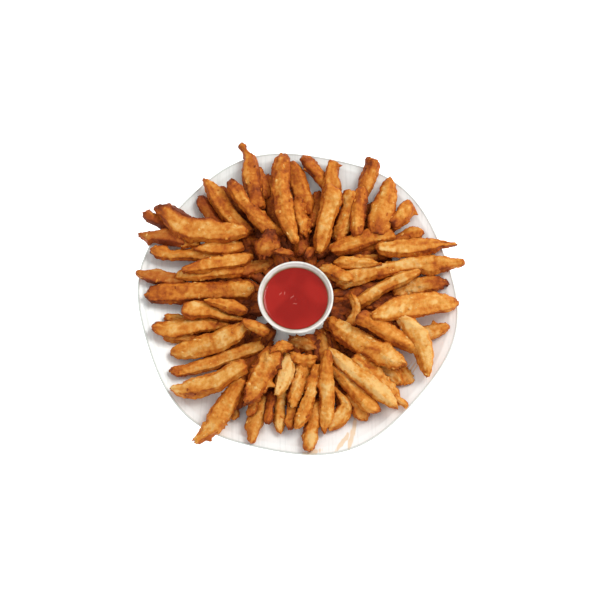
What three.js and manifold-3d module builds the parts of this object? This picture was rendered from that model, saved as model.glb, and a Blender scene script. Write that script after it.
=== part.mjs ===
// French fries heaped round a small pot of ketchup, on a plate whose rim has six soft lobes.
// Millimetres, +Z up. The plate stands on z = 0. The origin is below the middle of the whole
// footprint, with the tips of the fries that hang over the rim.

import * as THREE from 'three';
import { mergeVertices } from 'three/addons/utils/BufferGeometryUtils.js';
import Module from 'manifold-3d';

const { degToRad, lerp, clamp } = THREE.MathUtils;

// ---- Plate ----
const rimRadius = 138.5; // middle of the lobed outline
const rimHeight = 22;
const floorRadius = 72; // the flat floor ends here and the side starts to climb
const floorHeight = 6;
const climbPower = 1.5; // how late the side steepens
const floorWall = 4;
const rimWall = 2.8;
const rimRound = 0.6;
const footRadius = 55;
const footWidth = 5;
const footSlant = 1.3;
const underRings = [floorRadius, 90, 110, 130]; // radii where the profile bends
const topRings = [132, 120, 107, 94, 82, floorRadius];
const lobeCount = 6;
const lobeHeight = 2.5;
const lobeTurn = degToRad(71);
const plateSides = 60;

const footprintMiddle = new THREE.Vector2(1.5, 1.5); // seen from the middle of the plate

// ---- Pot and ketchup ----
const potCentre = new THREE.Vector2(-1.6, -5);
const potRim = { radius: 32.5, height: 42 };
const potMouth = { radius: 30.4, height: 41 }; // where the rounded rim turns into the inner wall
const rimEase = 0.4; // how far the rim's rounding cuts in
const potFoot = { radius: 20.5, height: 6.3, width: 3, deep: 1, bevel: 0.6 };
const potFloor = { radius: 17, height: 11, bevel: 1.6 };
const outerFlare = 2.2; // how late the wall opens out
const innerFlare = 1.8;
const outerRings = [18, 26, 32, 37]; // heights where the profile bends
const innerRings = [32, 26, 18];
const fillHeight = 37; // level of the ketchup
const fillEdge = 0.8; // the ketchup's edge is rounded
const fitGap = 0.4; // between the ketchup and the pot
const potSides = 28;

// ---- Fries ----
const squareness = 0.62; // power of the section's cosine and sine: 1 is round, 0 is square
const thickShare = 0.8; // thickness of a fry as a share of its width
const thinnest = 6.5;
const thickest = 13;
const barSides = 8;
const barSteps = 4;
const shortFry = 42; // one as short as this has a step less
const flatSideFactor = 1.05; // makes up for what the flat sides cut off the rounded section
const endThick = 0.4; // share of the thickness that even a pointed end keeps
const endBulge = 0.35; // how far an end swells out, as a share of its half thickness
const wobble = 0.035; // unevenness, as a share of the half width

// ---- The hidden middle of the heap ----
const coreSides = 24;
const coreInner = 40;
const coreOuter = 101;
const coreTop = [[46, 13], [56, 16], [72, 16], [86, 14.5], [96, 13]]; // radius and height of its crown
const coreUnder = [coreInner, floorRadius, 86, coreOuter]; // radii where its underside bends

// ---- How the fries come to rest ----
const feelers = 48; // points round a section that feel for what lies below
const stations = 14; // sections felt along a fry
const restGap = 0.9; // clear of the plate
const nestle = 3.5; // how far one fry presses into those below
const undersideShare = 0.7; // a fry feels others with the part of its section inside this cosine
const settlings = 8; // a fry slides along the line of sight as it settles
const settleShare = 0.5;
const steepest = 0.22; // slope of a fry, rise over run
const cell = 2; // grid of the heap's height
const reach = 160;
const bareHeight = -50;

// Places are read on the level of the rim by an eye that looks down on the plate. A thing that
// rests higher or lower lies on the same line of sight.
const eyeElevation = degToRad(72);
const eyeDistance = 1200;
const eye = new THREE.Vector3(
  0,
  -eyeDistance * Math.cos(eyeElevation),
  rimHeight + eyeDistance * Math.sin(eyeElevation),
);

// A fry from its outer tip to its inner root. The ends narrow to tipWide and rootWide over the
// shares tipRun and rootRun of the length, bow bends it sideways and roll turns it on its axis.
const plainFry = { bow: 0, roll: 0, tipWide: 0.7, rootWide: 0.8, tipRun: 0.2, rootRun: 0.2 };

function fry(tip, root, wide, details = {}) {
  return {
    tip: new THREE.Vector2(...tip),
    root: new THREE.Vector2(...root),
    wide,
    thick: clamp(thickShare * wide, thinnest, thickest),
    ...plainFry,
    ...details,
  };
}

const bottomFries = [
  fry([-26, 114], [-18, 64], 10),
  fry([-34, 124], [-27, 94], 9),
  fry([-69, 104], [-48, 78], 11),
  fry([-87, 95], [-60, 54], 12),
  fry([6, 74], [3, 40], 13),
  fry([14, 47], [8, 38], 8),
  fry([19, 100], [12, 66], 9),
  fry([90, 68], [60, 66], 12),
  fry([80, 52], [33, 42], 9),
  fry([72, 37], [50, 37], 7),
  fry([131, 12], [84, 5], 10, { tipWide: 0.3 }),
  fry([50, 2], [44, -25], 7),
  fry([131, -26], [88, -38], 12, { bow: -2, tipWide: 0.5 }),
  fry([57, -108], [44, -86], 12),
  fry([25, -62], [20, -28], 9),
  fry([14, -44], [-7, -38], 12),
  fry([-15, -119], [-13, -80], 10, { tipWide: 0.45 }),
  fry([-39, -128], [-28, -88], 15, { tipWide: 0.35, tipRun: 0.4 }),
  fry([-53, -107], [-57, -80], 8),
  fry([-116, -34], [-85, -38], 9),
  fry([-115, -17], [-95, -20], 9),
  fry([-49, 26], [-22, 33], 8),
  fry([-134, 79], [-103, 61], 12),
  fry([-140, 60], [-100, 54], 12, { tipWide: 0.2, tipRun: 0.35 }),
  fry([-142, 25], [-98, 18], 13, { tipWide: 0.12, tipRun: 0.4 }),
  fry([7, -136], [19, -92], 11, { tipWide: 0.8 }),
  fry([-8, -115], [-4, -90], 9),
  fry([-26, -113], [-22, -84], 8),
  fry([-51, -98], [-48, -64], 12),
  fry([-40, -104], [-38, -84], 8),
];

const middleFries = [
  fry([-50, 146], [-38, 92], 14, { bow: 1, tipWide: 0.36, tipRun: 0.5 }),
  fry([-79, 110], [-43, 60], 15, { tipWide: 0.6 }),
  fry([-1, 128], [12, 84], 11),
  fry([1, 91], [6, 60], 9),
  fry([9, 133], [28, 104], 13),
  fry([33, 127], [27, 88], 12, { tipWide: 0.9 }),
  fry([68, 129], [57, 92], 13, { tipWide: 0.95 }),
  fry([49, 97], [35, 52], 12),
  fry([102, 87], [84, 68], 15, { tipWide: 0.5 }),
  fry([113, 60], [80, 54], 10),
  fry([112, -69], [89, -12], 14, { bow: -5, tipWide: 0.5, tipRun: 0.3 }),
  fry([85, -79], [54, -47], 14),
  fry([66, -102], [30, -61], 13),
  fry([27, -116], [30, -80], 9, { bow: -12 }),
  fry([-6, -95], [9, -56], 13),
  fry([1, -114], [16, -60], 11),
  fry([-84, -127], [-49, -72], 17, { bow: -1, tipWide: 0.6, tipRun: 0.3 }),
  fry([-108, -82], [-46, -60], 17, { bow: -2.5, tipWide: 0.3, tipRun: 0.35 }),
  fry([-107, -65], [-30, -43], 12),
  fry([-125, -27], [-60, -21], 14, { tipWide: 0.7 }),
  fry([-98, -9], [-52, -18], 14, { tipWide: 0.9 }),
  fry([-129, 44], [-60, 41], 12),
  fry([-106, 22], [-48, 25], 11),
];

const topFries = [
  fry([-59, 109], [-16, 58], 13),
  fry([-13, 136], [1, 53], 16, { tipWide: 0.9, rootWide: 0.3, rootRun: 0.35 }),
  fry([34, 104], [19, 43], 17, { rootWide: 0.4, rootRun: 0.35 }),
  fry([82, 60], [30, 46], 12),
  fry([58, 102], [54, 60], 12, { rootWide: 0.9 }),
  fry([84, 114], [75, 64], 20, { thick: 10, tipWide: 0.3, tipRun: 0.6 }),
  fry([141, 49], [66, 46], 15, { tipWide: 0.25, tipRun: 0.45, rootWide: 0.6 }),
  fry([146, 33], [37, 15], 14, { bow: -5, tipWide: 0.45, tipRun: 0.35 }),
  fry([76, 33], [34, 33], 11),
  fry([46, 17], [21, 28], 9),
  fry([115, 23], [51, -6], 9, { bow: -2 }),
  fry([140, -6], [64, -12], 21, { bow: -2, tipWide: 0.5, tipRun: 0.35, rootWide: 0.55, rootRun: 0.3 }),
  fry([106, -47], [54, -17], 12),
  fry([92, -60], [26, -19], 19, { tipWide: 0.5, rootWide: 0.5, rootRun: 0.35 }),
  fry([93, -95], [50, -52], 12),
  fry([86, -98], [29, -48], 13, { roll: 30 }),
  fry([23, -119], [25, -60], 11, { tipWide: 0.4, roll: -28 }),
  fry([-17, -88], [-5, -52], 15),
  fry([-44, -94], [-20, -47], 20, { tipWide: 0.5 }),
  fry([-22, -47], [-5, -44], 8),
  fry([-8, -53], [16, -55], 8),
  fry([-107, -49], [-44, -26], 18, { tipWide: 0.45, tipRun: 0.3 }),
  fry([-47, -20], [-25, -32], 9),
  fry([-80, -3], [-44, -12], 12),
  fry([-26, 66], [-28, 39], 17),
  fry([-20, 44], [-4, 42], 7),
  fry([-99, 29], [-40, 38], 12),
  fry([-90, 49], [-48, 51], 10),
  fry([-133, 4], [-39, 9], 17, { tipWide: 0.8 }),
  fry([-120, 82], [-45, 63], 20, { bow: -8, tipWide: 0.55 }),
];

// ---- Solids ----
const wasm = await Module();
wasm.setup();

function closedSolid(geometry) {
  geometry.deleteAttribute('normal');
  geometry.deleteAttribute('uv');
  const merged = mergeVertices(geometry, 1e-4);
  const corners = Array.from(merged.index.array);
  const kept = [];
  for (let i = 0; i < corners.length; i += 3) {
    const [a, b, c] = corners.slice(i, i + 3);
    if (a !== b && b !== c && c !== a) kept.push(a, b, c);
  }
  const vertProperties = new Float32Array(merged.attributes.position.array);
  const mesh = new wasm.Mesh({ numProp: 3, vertProperties, triVerts: new Uint32Array(kept) });
  return new wasm.Manifold(mesh);
}

function geometryOf(solid) {
  const mesh = solid.getMesh();
  const geometry = new THREE.BufferGeometry();
  geometry.setAttribute('position', new THREE.BufferAttribute(mesh.vertProperties, 3));
  geometry.setIndex(new THREE.BufferAttribute(mesh.triVerts, 1));
  geometry.computeVertexNormals();
  return geometry;
}

function turned(profile, sides) {
  const points = profile.map(([radius, height]) => new THREE.Vector2(radius, height));
  return new THREE.LatheGeometry(points, sides).rotateX(Math.PI / 2);
}

// ---- Plate ----
function plateTop(radius) {
  const climb = Math.max(0, (radius - floorRadius) / (rimRadius - floorRadius));
  return floorHeight + (rimHeight - floorHeight) * climb ** climbPower;
}

function plateWall(radius) {
  const climb = Math.max(0, (radius - floorRadius) / (rimRadius - floorRadius));
  return lerp(floorWall, rimWall, climb);
}

function lobeFactor(angle, radius) {
  const swell = (lobeHeight / rimRadius) * Math.cos(lobeCount * angle + lobeTurn);
  return 1 + swell * (radius / rimRadius) ** 2;
}

function plateProfile() {
  const under = (radius) => [radius, plateTop(radius) - plateWall(radius)];
  const footOuter = footRadius + footWidth / 2;
  const footInner = footRadius - footWidth / 2;
  const belly = floorHeight - floorWall;
  return [
    [0, belly],
    [footInner - footSlant, belly],
    [footInner, 0],
    [footOuter, 0],
    [footOuter + footSlant, belly],
    ...underRings.map(under),
    [rimRadius - rimRound, rimHeight - rimWall],
    [rimRadius, rimHeight - rimWall / 2],
    [rimRadius - rimRound, rimHeight - rimRound / 2],
    ...topRings.map((radius) => [radius, plateTop(radius)]),
    [0, floorHeight],
  ];
}

function plateGeometry() {
  const geometry = turned(plateProfile(), plateSides);
  const points = geometry.attributes.position;
  for (let i = 0; i < points.count; i++) {
    const radius = Math.hypot(points.getX(i), points.getY(i));
    const factor = lobeFactor(Math.atan2(points.getY(i), points.getX(i)), radius);
    points.setXY(i, points.getX(i) * factor, points.getY(i) * factor);
  }
  return geometryOf(closedSolid(geometry));
}

function floorUnder(place) {
  const factor = lobeFactor(place.angle(), place.length());
  const radius = place.length() / factor;
  return radius > rimRadius ? bareHeight : plateTop(radius);
}

// ---- Pot and ketchup ----
function wallRadius(low, high, flare, height) {
  const share = (height - low.height) / (high.height - low.height);
  return lerp(low.radius, high.radius, share ** flare);
}

const outerWall = (height) => wallRadius(potFoot, { ...potRim, height: potMouth.height }, outerFlare, height);
const innerWall = (height) => wallRadius(potFloor, potMouth, innerFlare, height);

function potGeometry() {
  const hollow = potFoot.height + potFoot.deep; // height of the underside inside the foot
  const footInner = potFoot.radius - potFoot.width;
  const profile = [
    [0, hollow],
    [footInner - potFoot.bevel, hollow],
    [footInner, potFoot.height],
    [potFoot.radius - potFoot.bevel, potFoot.height],
    [outerWall(hollow), hollow],
    ...outerRings.map((height) => [outerWall(height), height]),
    [potRim.radius, potMouth.height],
    [potRim.radius - rimEase, potRim.height - rimEase],
    [(potRim.radius + potMouth.radius) / 2, potRim.height],
    [potMouth.radius + rimEase, potRim.height - rimEase],
    [potMouth.radius, potMouth.height],
    [innerWall(fillHeight), fillHeight],
    ...innerRings.map((height) => [innerWall(height), height]),
    [potFloor.radius, potFloor.height + potFloor.bevel],
    [potFloor.radius - potFloor.bevel, potFloor.height],
    [0, potFloor.height],
  ];
  return geometryOf(closedSolid(turned(profile, potSides)));
}

function ketchupGeometry() {
  const low = potFloor.height + fitGap;
  const edgeHeight = fillHeight - fillEdge;
  const profile = [
    [0, low],
    [potFloor.radius - potFloor.bevel - fitGap, low],
    [potFloor.radius - fitGap, low + potFloor.bevel],
    ...[...innerRings].reverse().map((height) => [innerWall(height) - fitGap, height]),
    [innerWall(edgeHeight) - fitGap, edgeHeight],
    [innerWall(fillHeight) - fitGap - fillEdge, fillHeight],
    [0, fillHeight],
  ];
  return geometryOf(closedSolid(turned(profile, potSides)));
}

// ---- Shape of one fry ----
function atHeight(seen, height) {
  const share = (height - rimHeight) / (eye.z - rimHeight);
  return new THREE.Vector2(lerp(seen.x, eye.x, share), lerp(seen.y, eye.y, share));
}

function sideways(fry) {
  const run = fry.root.clone().sub(fry.tip).normalize();
  return new THREE.Vector2(-run.y, run.x);
}

function seenAt(fry, along) {
  const seen = fry.tip.clone().lerp(fry.root, along);
  return seen.addScaledVector(sideways(fry), fry.bow * Math.sin(Math.PI * along));
}

function heightAt(fry, along) {
  return lerp(fry.tipHeight, fry.rootHeight, along);
}

function narrowing(fry, along) {
  const ease = (share) => Math.sin((Math.PI / 2) * share);
  if (along < fry.tipRun) return lerp(fry.tipWide, 1, ease(along / fry.tipRun));
  if (along > 1 - fry.rootRun) return lerp(fry.rootWide, 1, ease((1 - along) / fry.rootRun));
  return 1;
}

// Slow swellings that make every fry a little uneven
function unevenness(fry, along, angle) {
  const wave = Math.sin(7 * along + 2.4 * fry.number) + Math.sin(11 * along + 1.7 * fry.number + angle);
  return 1 + wobble * wave;
}

function sectionPoint(fry, along, angle) {
  const narrow = narrowing(fry, along);
  const grow = unevenness(fry, along, angle);
  const cosine = Math.cos(angle);
  const sine = Math.sin(angle);
  const side = (fry.wide / 2) * narrow * grow * Math.sign(cosine) * Math.abs(cosine) ** squareness;
  const deep = (fry.thick / 2) * lerp(endThick, 1, narrow) * grow;
  const up = deep * Math.sign(sine) * Math.abs(sine) ** squareness;
  return new THREE.Vector2(side, up).rotateAround(new THREE.Vector2(), degToRad(fry.roll));
}

function fryGeometry(fry) {
  const firstCorner = Math.PI / barSides;
  const steps = fry.tip.distanceTo(fry.root) > shortFry ? barSteps : barSteps - 1;
  const bar = new THREE.CylinderGeometry(1, 1, 1, barSides, steps, false, firstCorner);
  const points = bar.attributes.position;
  const side = sideways(fry);
  for (let i = 0; i < points.count; i++) {
    const along = (1 - Math.cos(Math.PI * (0.5 - points.getY(i)))) / 2;
    const isEndMiddle = Math.hypot(points.getX(i), points.getZ(i)) < 0.5;
    const middle = atHeight(seenAt(fry, along), heightAt(fry, along));
    let offset = new THREE.Vector2();
    if (isEndMiddle) {
      const outwards = fry.tip.clone().sub(fry.root).setLength(along < 0.5 ? 1 : -1);
      middle.addScaledVector(outwards, endBulge * (fry.thick / 2) * narrowing(fry, along));
    } else {
      offset = sectionPoint(fry, along, Math.atan2(points.getZ(i), points.getX(i)));
      offset.multiplyScalar(flatSideFactor);
    }
    middle.addScaledVector(side, offset.x);
    points.setXYZ(i, middle.x, middle.y, heightAt(fry, along) + offset.y);
  }
  return bar;
}

// ---- The heap's height, on a grid ----
function crownHeight(place) {
  const radius = place.length();
  if (radius < coreInner || radius > coreOuter) return bareHeight;
  const corners = [[coreInner, floorHeight], ...coreTop, [coreOuter, plateTop(coreOuter)]];
  const next = corners.findIndex(([cornerRadius]) => cornerRadius >= radius);
  const [from, to] = [corners[Math.max(0, next - 1)], corners[next]];
  if (from === to) return to[1];
  return lerp(from[1], to[1], (radius - from[0]) / (to[0] - from[0]));
}

const noHeap = { at: () => bareHeight };

function newHeap() {
  const side = Math.round((2 * reach) / cell) + 1;
  const heights = new Map();
  const keyOf = (place) => {
    const column = Math.floor((place.x + reach) / cell + 0.5);
    const row = Math.floor((place.y + reach) / cell + 0.5);
    return row * side + column;
  };
  for (let y = -reach; y <= reach; y += cell) {
    for (let x = -reach; x <= reach; x += cell) {
      const place = new THREE.Vector2(x, y);
      heights.set(keyOf(place), crownHeight(place));
    }
  }
  return {
    at: (place) => heights.get(keyOf(place)) ?? bareHeight,
    raise: (place, height) => {
      heights.set(keyOf(place), Math.max(height, heights.get(keyOf(place)) ?? bareHeight));
    },
  };
}

// Height that the fry's middle line needs at one section to lie clear of what is below
function heightNeeded(fry, along, heap) {
  const middle = atHeight(seenAt(fry, along), heightAt(fry, along));
  const side = sideways(fry);
  let needed = bareHeight;
  for (let i = 0; i < feelers; i++) {
    const angle = (2 * Math.PI * i) / feelers;
    const { x: offset, y: up } = sectionPoint(fry, along, angle);
    if (up > 0) continue;
    const place = middle.clone().addScaledVector(side, offset);
    needed = Math.max(needed, floorUnder(place) + restGap - up);
    const isUnderside = Math.abs(Math.cos(angle)) < undersideShare;
    if (isUnderside) needed = Math.max(needed, heap.at(place) - nestle - up);
  }
  return needed;
}

function feelAlong(fry, heap) {
  return Array.from({ length: stations + 1 }, (_, i) => {
    const along = i / stations;
    return { along, height: heightNeeded(fry, along, heap) };
  });
}

// The line through the two sections, one on each side of the middle, that hold the fry highest
function slopeOver(felt) {
  const outer = felt.filter(({ along }) => along <= 0.5);
  const inner = felt.filter(({ along }) => along > 0.5);
  let highest = bareHeight;
  let slope = 0;
  for (const a of outer) {
    for (const b of inner) {
      const pairSlope = (b.height - a.height) / (b.along - a.along);
      const middle = a.height + pairSlope * (0.5 - a.along);
      if (middle <= highest) continue;
      highest = middle;
      slope = pairSlope;
    }
  }
  return slope;
}

function settle(fry, heap) {
  const felt = feelAlong(fry, heap);
  const limit = steepest * fry.tip.distanceTo(fry.root);
  const slope = clamp(slopeOver(felt), -limit, limit);
  const middle = Math.max(...felt.map(({ along, height }) => height - slope * (along - 0.5)));
  fry.tipHeight = lerp(fry.tipHeight, middle - slope / 2, settleShare);
  fry.rootHeight = lerp(fry.rootHeight, middle + slope / 2, settleShare);
}

// Lifts a fry off the plate where the last settling left it too low
function liftOffPlate(fry) {
  const felt = feelAlong(fry, noHeap);
  const lift = Math.max(0, ...felt.map(({ along, height }) => height - heightAt(fry, along)));
  fry.tipHeight += lift;
  fry.rootHeight += lift;
}

function raiseHeap(fry, heap) {
  const side = sideways(fry);
  const steps = 4 * stations;
  for (let i = 0; i <= steps; i++) {
    const along = i / steps;
    const middle = atHeight(seenAt(fry, along), heightAt(fry, along));
    for (let j = 0; j < feelers; j++) {
      const { x: offset, y: up } = sectionPoint(fry, along, (2 * Math.PI * j) / feelers);
      if (up < 0) continue;
      const place = middle.clone().addScaledVector(side, offset);
      heap.raise(place, heightAt(fry, along) + up);
    }
  }
}

const fries = [...bottomFries, ...middleFries, ...topFries];

function restAll() {
  const heap = newHeap();
  fries.forEach((one, number) => {
    one.number = number;
    one.tipHeight = rimHeight;
    one.rootHeight = rimHeight;
    for (let i = 0; i < settlings; i++) settle(one, heap);
    liftOffPlate(one);
    raiseHeap(one, heap);
  });
}

function coreSolid() {
  const under = (radius) => [radius, plateTop(radius) + restGap];
  const profile = [...coreUnder.map(under), ...[...coreTop].reverse(), under(coreInner)];
  return closedSolid(turned(profile, coreSides));
}

function friesGeometry() {
  restAll();
  const heap = fries.reduce((all, one) => all.add(closedSolid(fryGeometry(one))), coreSolid());
  return geometryOf(heap);
}

// ---- The scene graph ----
function piece(name, geometry, color, roughness) {
  const material = new THREE.MeshStandardMaterial({ color, roughness, metalness: 0 });
  const mesh = new THREE.Mesh(geometry, material);
  mesh.name = name;
  return mesh;
}

const dipPot = new THREE.Group();
dipPot.position.set(potCentre.x, potCentre.y, 0);
dipPot.add(piece('dip_pot', potGeometry(), '#f4f1ec', 0.25));
dipPot.add(piece('ketchup', ketchupGeometry(), '#a82f27', 0.3));

const plateOfFries = new THREE.Group();
plateOfFries.position.set(-footprintMiddle.x, -footprintMiddle.y, 0);
plateOfFries.add(piece('plate', plateGeometry(), '#f3eee8', 0.25));
plateOfFries.add(piece('fries', friesGeometry(), '#ce8a3e', 0.6));
plateOfFries.add(dipPot);

export default plateOfFries;
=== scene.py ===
# Deep-fried potato fries with a battered crust, laid like petals round a small pot of ketchup on a
# lobed porcelain plate. Everything is shaped in millimetres from the middle of the plate, and
# finishPiece turns it to metres and moves it to where the frame has it.
import math
import random
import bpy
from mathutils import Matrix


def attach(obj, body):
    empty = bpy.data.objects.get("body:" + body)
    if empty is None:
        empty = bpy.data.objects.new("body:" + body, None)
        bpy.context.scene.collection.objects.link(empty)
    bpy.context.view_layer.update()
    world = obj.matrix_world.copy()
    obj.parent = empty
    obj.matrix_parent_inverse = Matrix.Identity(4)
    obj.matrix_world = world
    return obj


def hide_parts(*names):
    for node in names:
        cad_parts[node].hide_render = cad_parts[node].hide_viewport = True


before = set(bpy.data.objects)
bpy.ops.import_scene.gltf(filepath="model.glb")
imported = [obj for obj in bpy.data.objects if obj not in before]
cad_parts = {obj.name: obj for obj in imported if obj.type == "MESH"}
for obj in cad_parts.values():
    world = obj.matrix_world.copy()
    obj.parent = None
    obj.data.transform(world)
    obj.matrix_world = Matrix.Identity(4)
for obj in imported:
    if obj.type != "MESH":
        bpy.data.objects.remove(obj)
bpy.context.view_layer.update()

from types import SimpleNamespace

import bmesh
import bpy
from mathutils import Vector, noise

metre = 1000
footprintMiddle = Vector((1.5, 1.5, 0))  # the frame's origin, seen from the middle of the plate
crustSeed = 7
noise.seed_set(crustSeed)  # else the vector noise starts from the clock, and every run differs


def lerp(low, high, share):
    return low + (high - low) * share


def clamp(value, low=0, high=1):
    return max(low, min(high, value))


def turnBy(degrees):
    return complex(math.cos(math.radians(degrees)), math.sin(math.radians(degrees)))


# ---- Camera ----
# It looks down at the angle of the photograph. The fries are placed by its line of sight, from
# where they are seen on a level plane.
view = dict(elevation=72, distance=1200, level=22, lens=82.56, sensor=36, aimX=2.2, aimY=-1.4)
viewRise = math.radians(view['elevation'])
eyeHeight = view['level'] + view['distance'] * math.sin(viewRise)
eyeOnPlan = complex(0, -view['distance'] * math.cos(viewRise))


def makeCamera():
    eye = Vector((eyeOnPlan.real, eyeOnPlan.imag, eyeHeight))
    aim = Vector((view['aimX'], view['aimY'], view['level']))
    data = bpy.data.cameras.new('camera')
    data.lens = view['lens']
    data.sensor_width = view['sensor']
    camera = bpy.data.objects.new('camera', data)
    camera.location = (eye - footprintMiddle) / metre
    camera.rotation_euler = (aim - eye).to_track_quat('-Z', 'Y').to_euler()
    bpy.context.scene.collection.objects.link(camera)
    bpy.context.scene.camera = camera


makeCamera()
print('camera ready')


# ---- Materials ----
def linearColour(hexCode):
    channels = [int(hexCode[i:i + 2], 16) / 255 for i in (1, 3, 5)]
    return [c / 12.92 if c <= 0.04045 else ((c + 0.055) / 1.055) ** 2.4 for c in channels] + [1]


def perMetre(size):
    return metre / size  # texture scale of a pattern whose features are size millimetres apart


def setInputs(tree, node, inputs):
    for name, value in inputs.items():
        if isinstance(value, bpy.types.NodeSocket):
            tree.links.new(value, node.inputs[name])
        else:
            node.inputs[name].default_value = value


def addNode(tree, kind, inputs=None, **settings):
    node = tree.nodes.new('ShaderNode' + kind)
    for name, value in settings.items():
        setattr(node, name, value)
    setInputs(tree, node, inputs or {})
    return node


def startMaterial(name):
    material = bpy.data.materials.new(name)
    material.use_nodes = True
    tree = material.node_tree
    return material, tree, addNode(tree, 'TexCoord').outputs['Object']


def finishMaterial(material, inputs):
    tree = material.node_tree
    setInputs(tree, tree.nodes['Principled BSDF'], inputs)
    return material


def storedTone(tree, name):
    return addNode(tree, 'Attribute', attribute_name=name).outputs['Fac']


def noiseTone(tree, place, size, detail, **inputs):
    return addNode(tree, 'TexNoise', {
        'Vector': place, 'Scale': perMetre(size), 'Detail': detail, **inputs}).outputs['Fac']


def ranged(tree, value, fromLow, fromHigh, low, high):
    return addNode(tree, 'MapRange', {
        'Value': value, 'From Min': fromLow, 'From Max': fromHigh,
        'To Min': low, 'To Max': high}).outputs[0]


def maths(tree, operation, *values):
    return addNode(tree, 'Math', dict(enumerate(values)), operation=operation).outputs[0]


def painted(tree, colour, share, over):
    return addNode(tree, 'Mix', {0: share, 6: colour, 7: linearColour(over)}, data_type='RGBA').outputs[2]


def colourRamp(tree, value, *stops):
    node = addNode(tree, 'ValToRGB', {0: value})
    elements = node.color_ramp.elements
    while len(elements) < len(stops):
        elements.new(1)
    for element, (position, colour) in zip(elements, stops):
        element.position = position
        element.color = linearColour(colour) if isinstance(colour, str) else (colour,) * 3 + (1,)
    return node.outputs[0]


def bumped(tree, height, strength, distance):
    return addNode(tree, 'Bump', {
        'Height': height, 'Strength': strength, 'Distance': distance / metre}).outputs[0]


crustLook = dict(
    palest='#f4c57a', pale='#e8a34a', golden='#d78127', brown='#bb6017', dark='#984510',
    darkest='#6c2e0d', reddish='#96401a', blotch=9, speck=2.8, grain=0.9, roughness=0.52)


def friedCrust(look=crustLook):
    # Potato in a thin seasoned batter, deep-fried: dull and slightly oily, darker at its ends. Its brown
    # also carries painted shade: darker on its flanks and in its creases, paler on its flats
    material, tree, place = startMaterial('FriedBatterCrust')
    blotch = noiseTone(tree, place, look['blotch'], 3, Roughness=0.6)
    speck = noiseTone(tree, place, look['speck'], 4, Roughness=0.65)
    grain = noiseTone(tree, place, look['grain'], 3, Roughness=0.7)
    cooked = maths(tree, 'ADD', storedTone(tree, 'brown'), ranged(tree, blotch, 0.3, 0.7, -0.06, 0.06))
    cooked = maths(tree, 'ADD', cooked, ranged(tree, speck, 0.36, 0.64, -0.08, 0.08))
    colour = colourRamp(
        tree, cooked, (0.02, look['palest']), (0.22, look['pale']), (0.42, look['golden']),
        (0.62, look['brown']), (0.82, look['dark']), (1, look['darkest']))
    crumbly = maths(tree, 'MULTIPLY_ADD', speck, 2.2, grain)
    return finishMaterial(material, {
        'Base Color': painted(tree, colour, storedTone(tree, 'red'), look['reddish']),
        'Roughness': ranged(tree, speck, 0.3, 0.7, look['roughness'] - 0.1, look['roughness'] + 0.16),
        'Normal': bumped(tree, crumbly, 0.8, 0.7), 'IOR': 1.45, 'Specular IOR Level': 0.25,
        'Subsurface Weight': 0.12, 'Subsurface Radius': (1, 0.45, 0.15), 'Subsurface Scale': 1.5 / metre})


porcelainLook = dict(
    shadedWhite='#f6faf7', litWhite='#fcfefc', peach='#f1cfa2', litPink='#fcf6f1', grey='#d3d9d6', edge='#bcc3b9',
    roughness=0.22, wave=28, streak=1.7, streakRun=26, streakTurn=14, litSideWay=(3.2, -2.6, 0), strokes=[
        dict(x=46, y=-120, turn=76, run=16, size=1.8), dict(x=37.5, y=-127, turn=54, run=10, size=1.8),
        dict(x=10, y=-137, turn=20, run=8, size=2.5), dict(x=93, y=-64, turn=56, run=9, size=0.8),
        dict(x=97.5, y=-63, turn=56, run=10, size=0.9), dict(x=102, y=-61, turn=56, run=8, size=0.7)])


def brushMask(tree, place, stroke, ragged):
    # One painted stroke: its middle and turn on the plate, half its length and half its width
    local = addNode(tree, 'Mapping', {
        'Vector': place, 'Location': (Vector((stroke['x'], stroke['y'], 0)) - footprintMiddle) / metre,
        'Rotation': (0, 0, math.radians(stroke['turn'])),
        'Scale': (stroke['run'] / metre, stroke['size'] / metre, 1)}, vector_type='TEXTURE').outputs[0]
    flat = addNode(tree, 'VectorMath', {0: local, 1: (1, 1, 0)}, operation='MULTIPLY').outputs[0]
    reach = addNode(tree, 'VectorMath', {0: flat}, operation='LENGTH').outputs['Value']
    return ranged(tree, maths(tree, 'ADD', reach, ragged), 0.9, 1.3, 0.75, 0)


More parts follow.
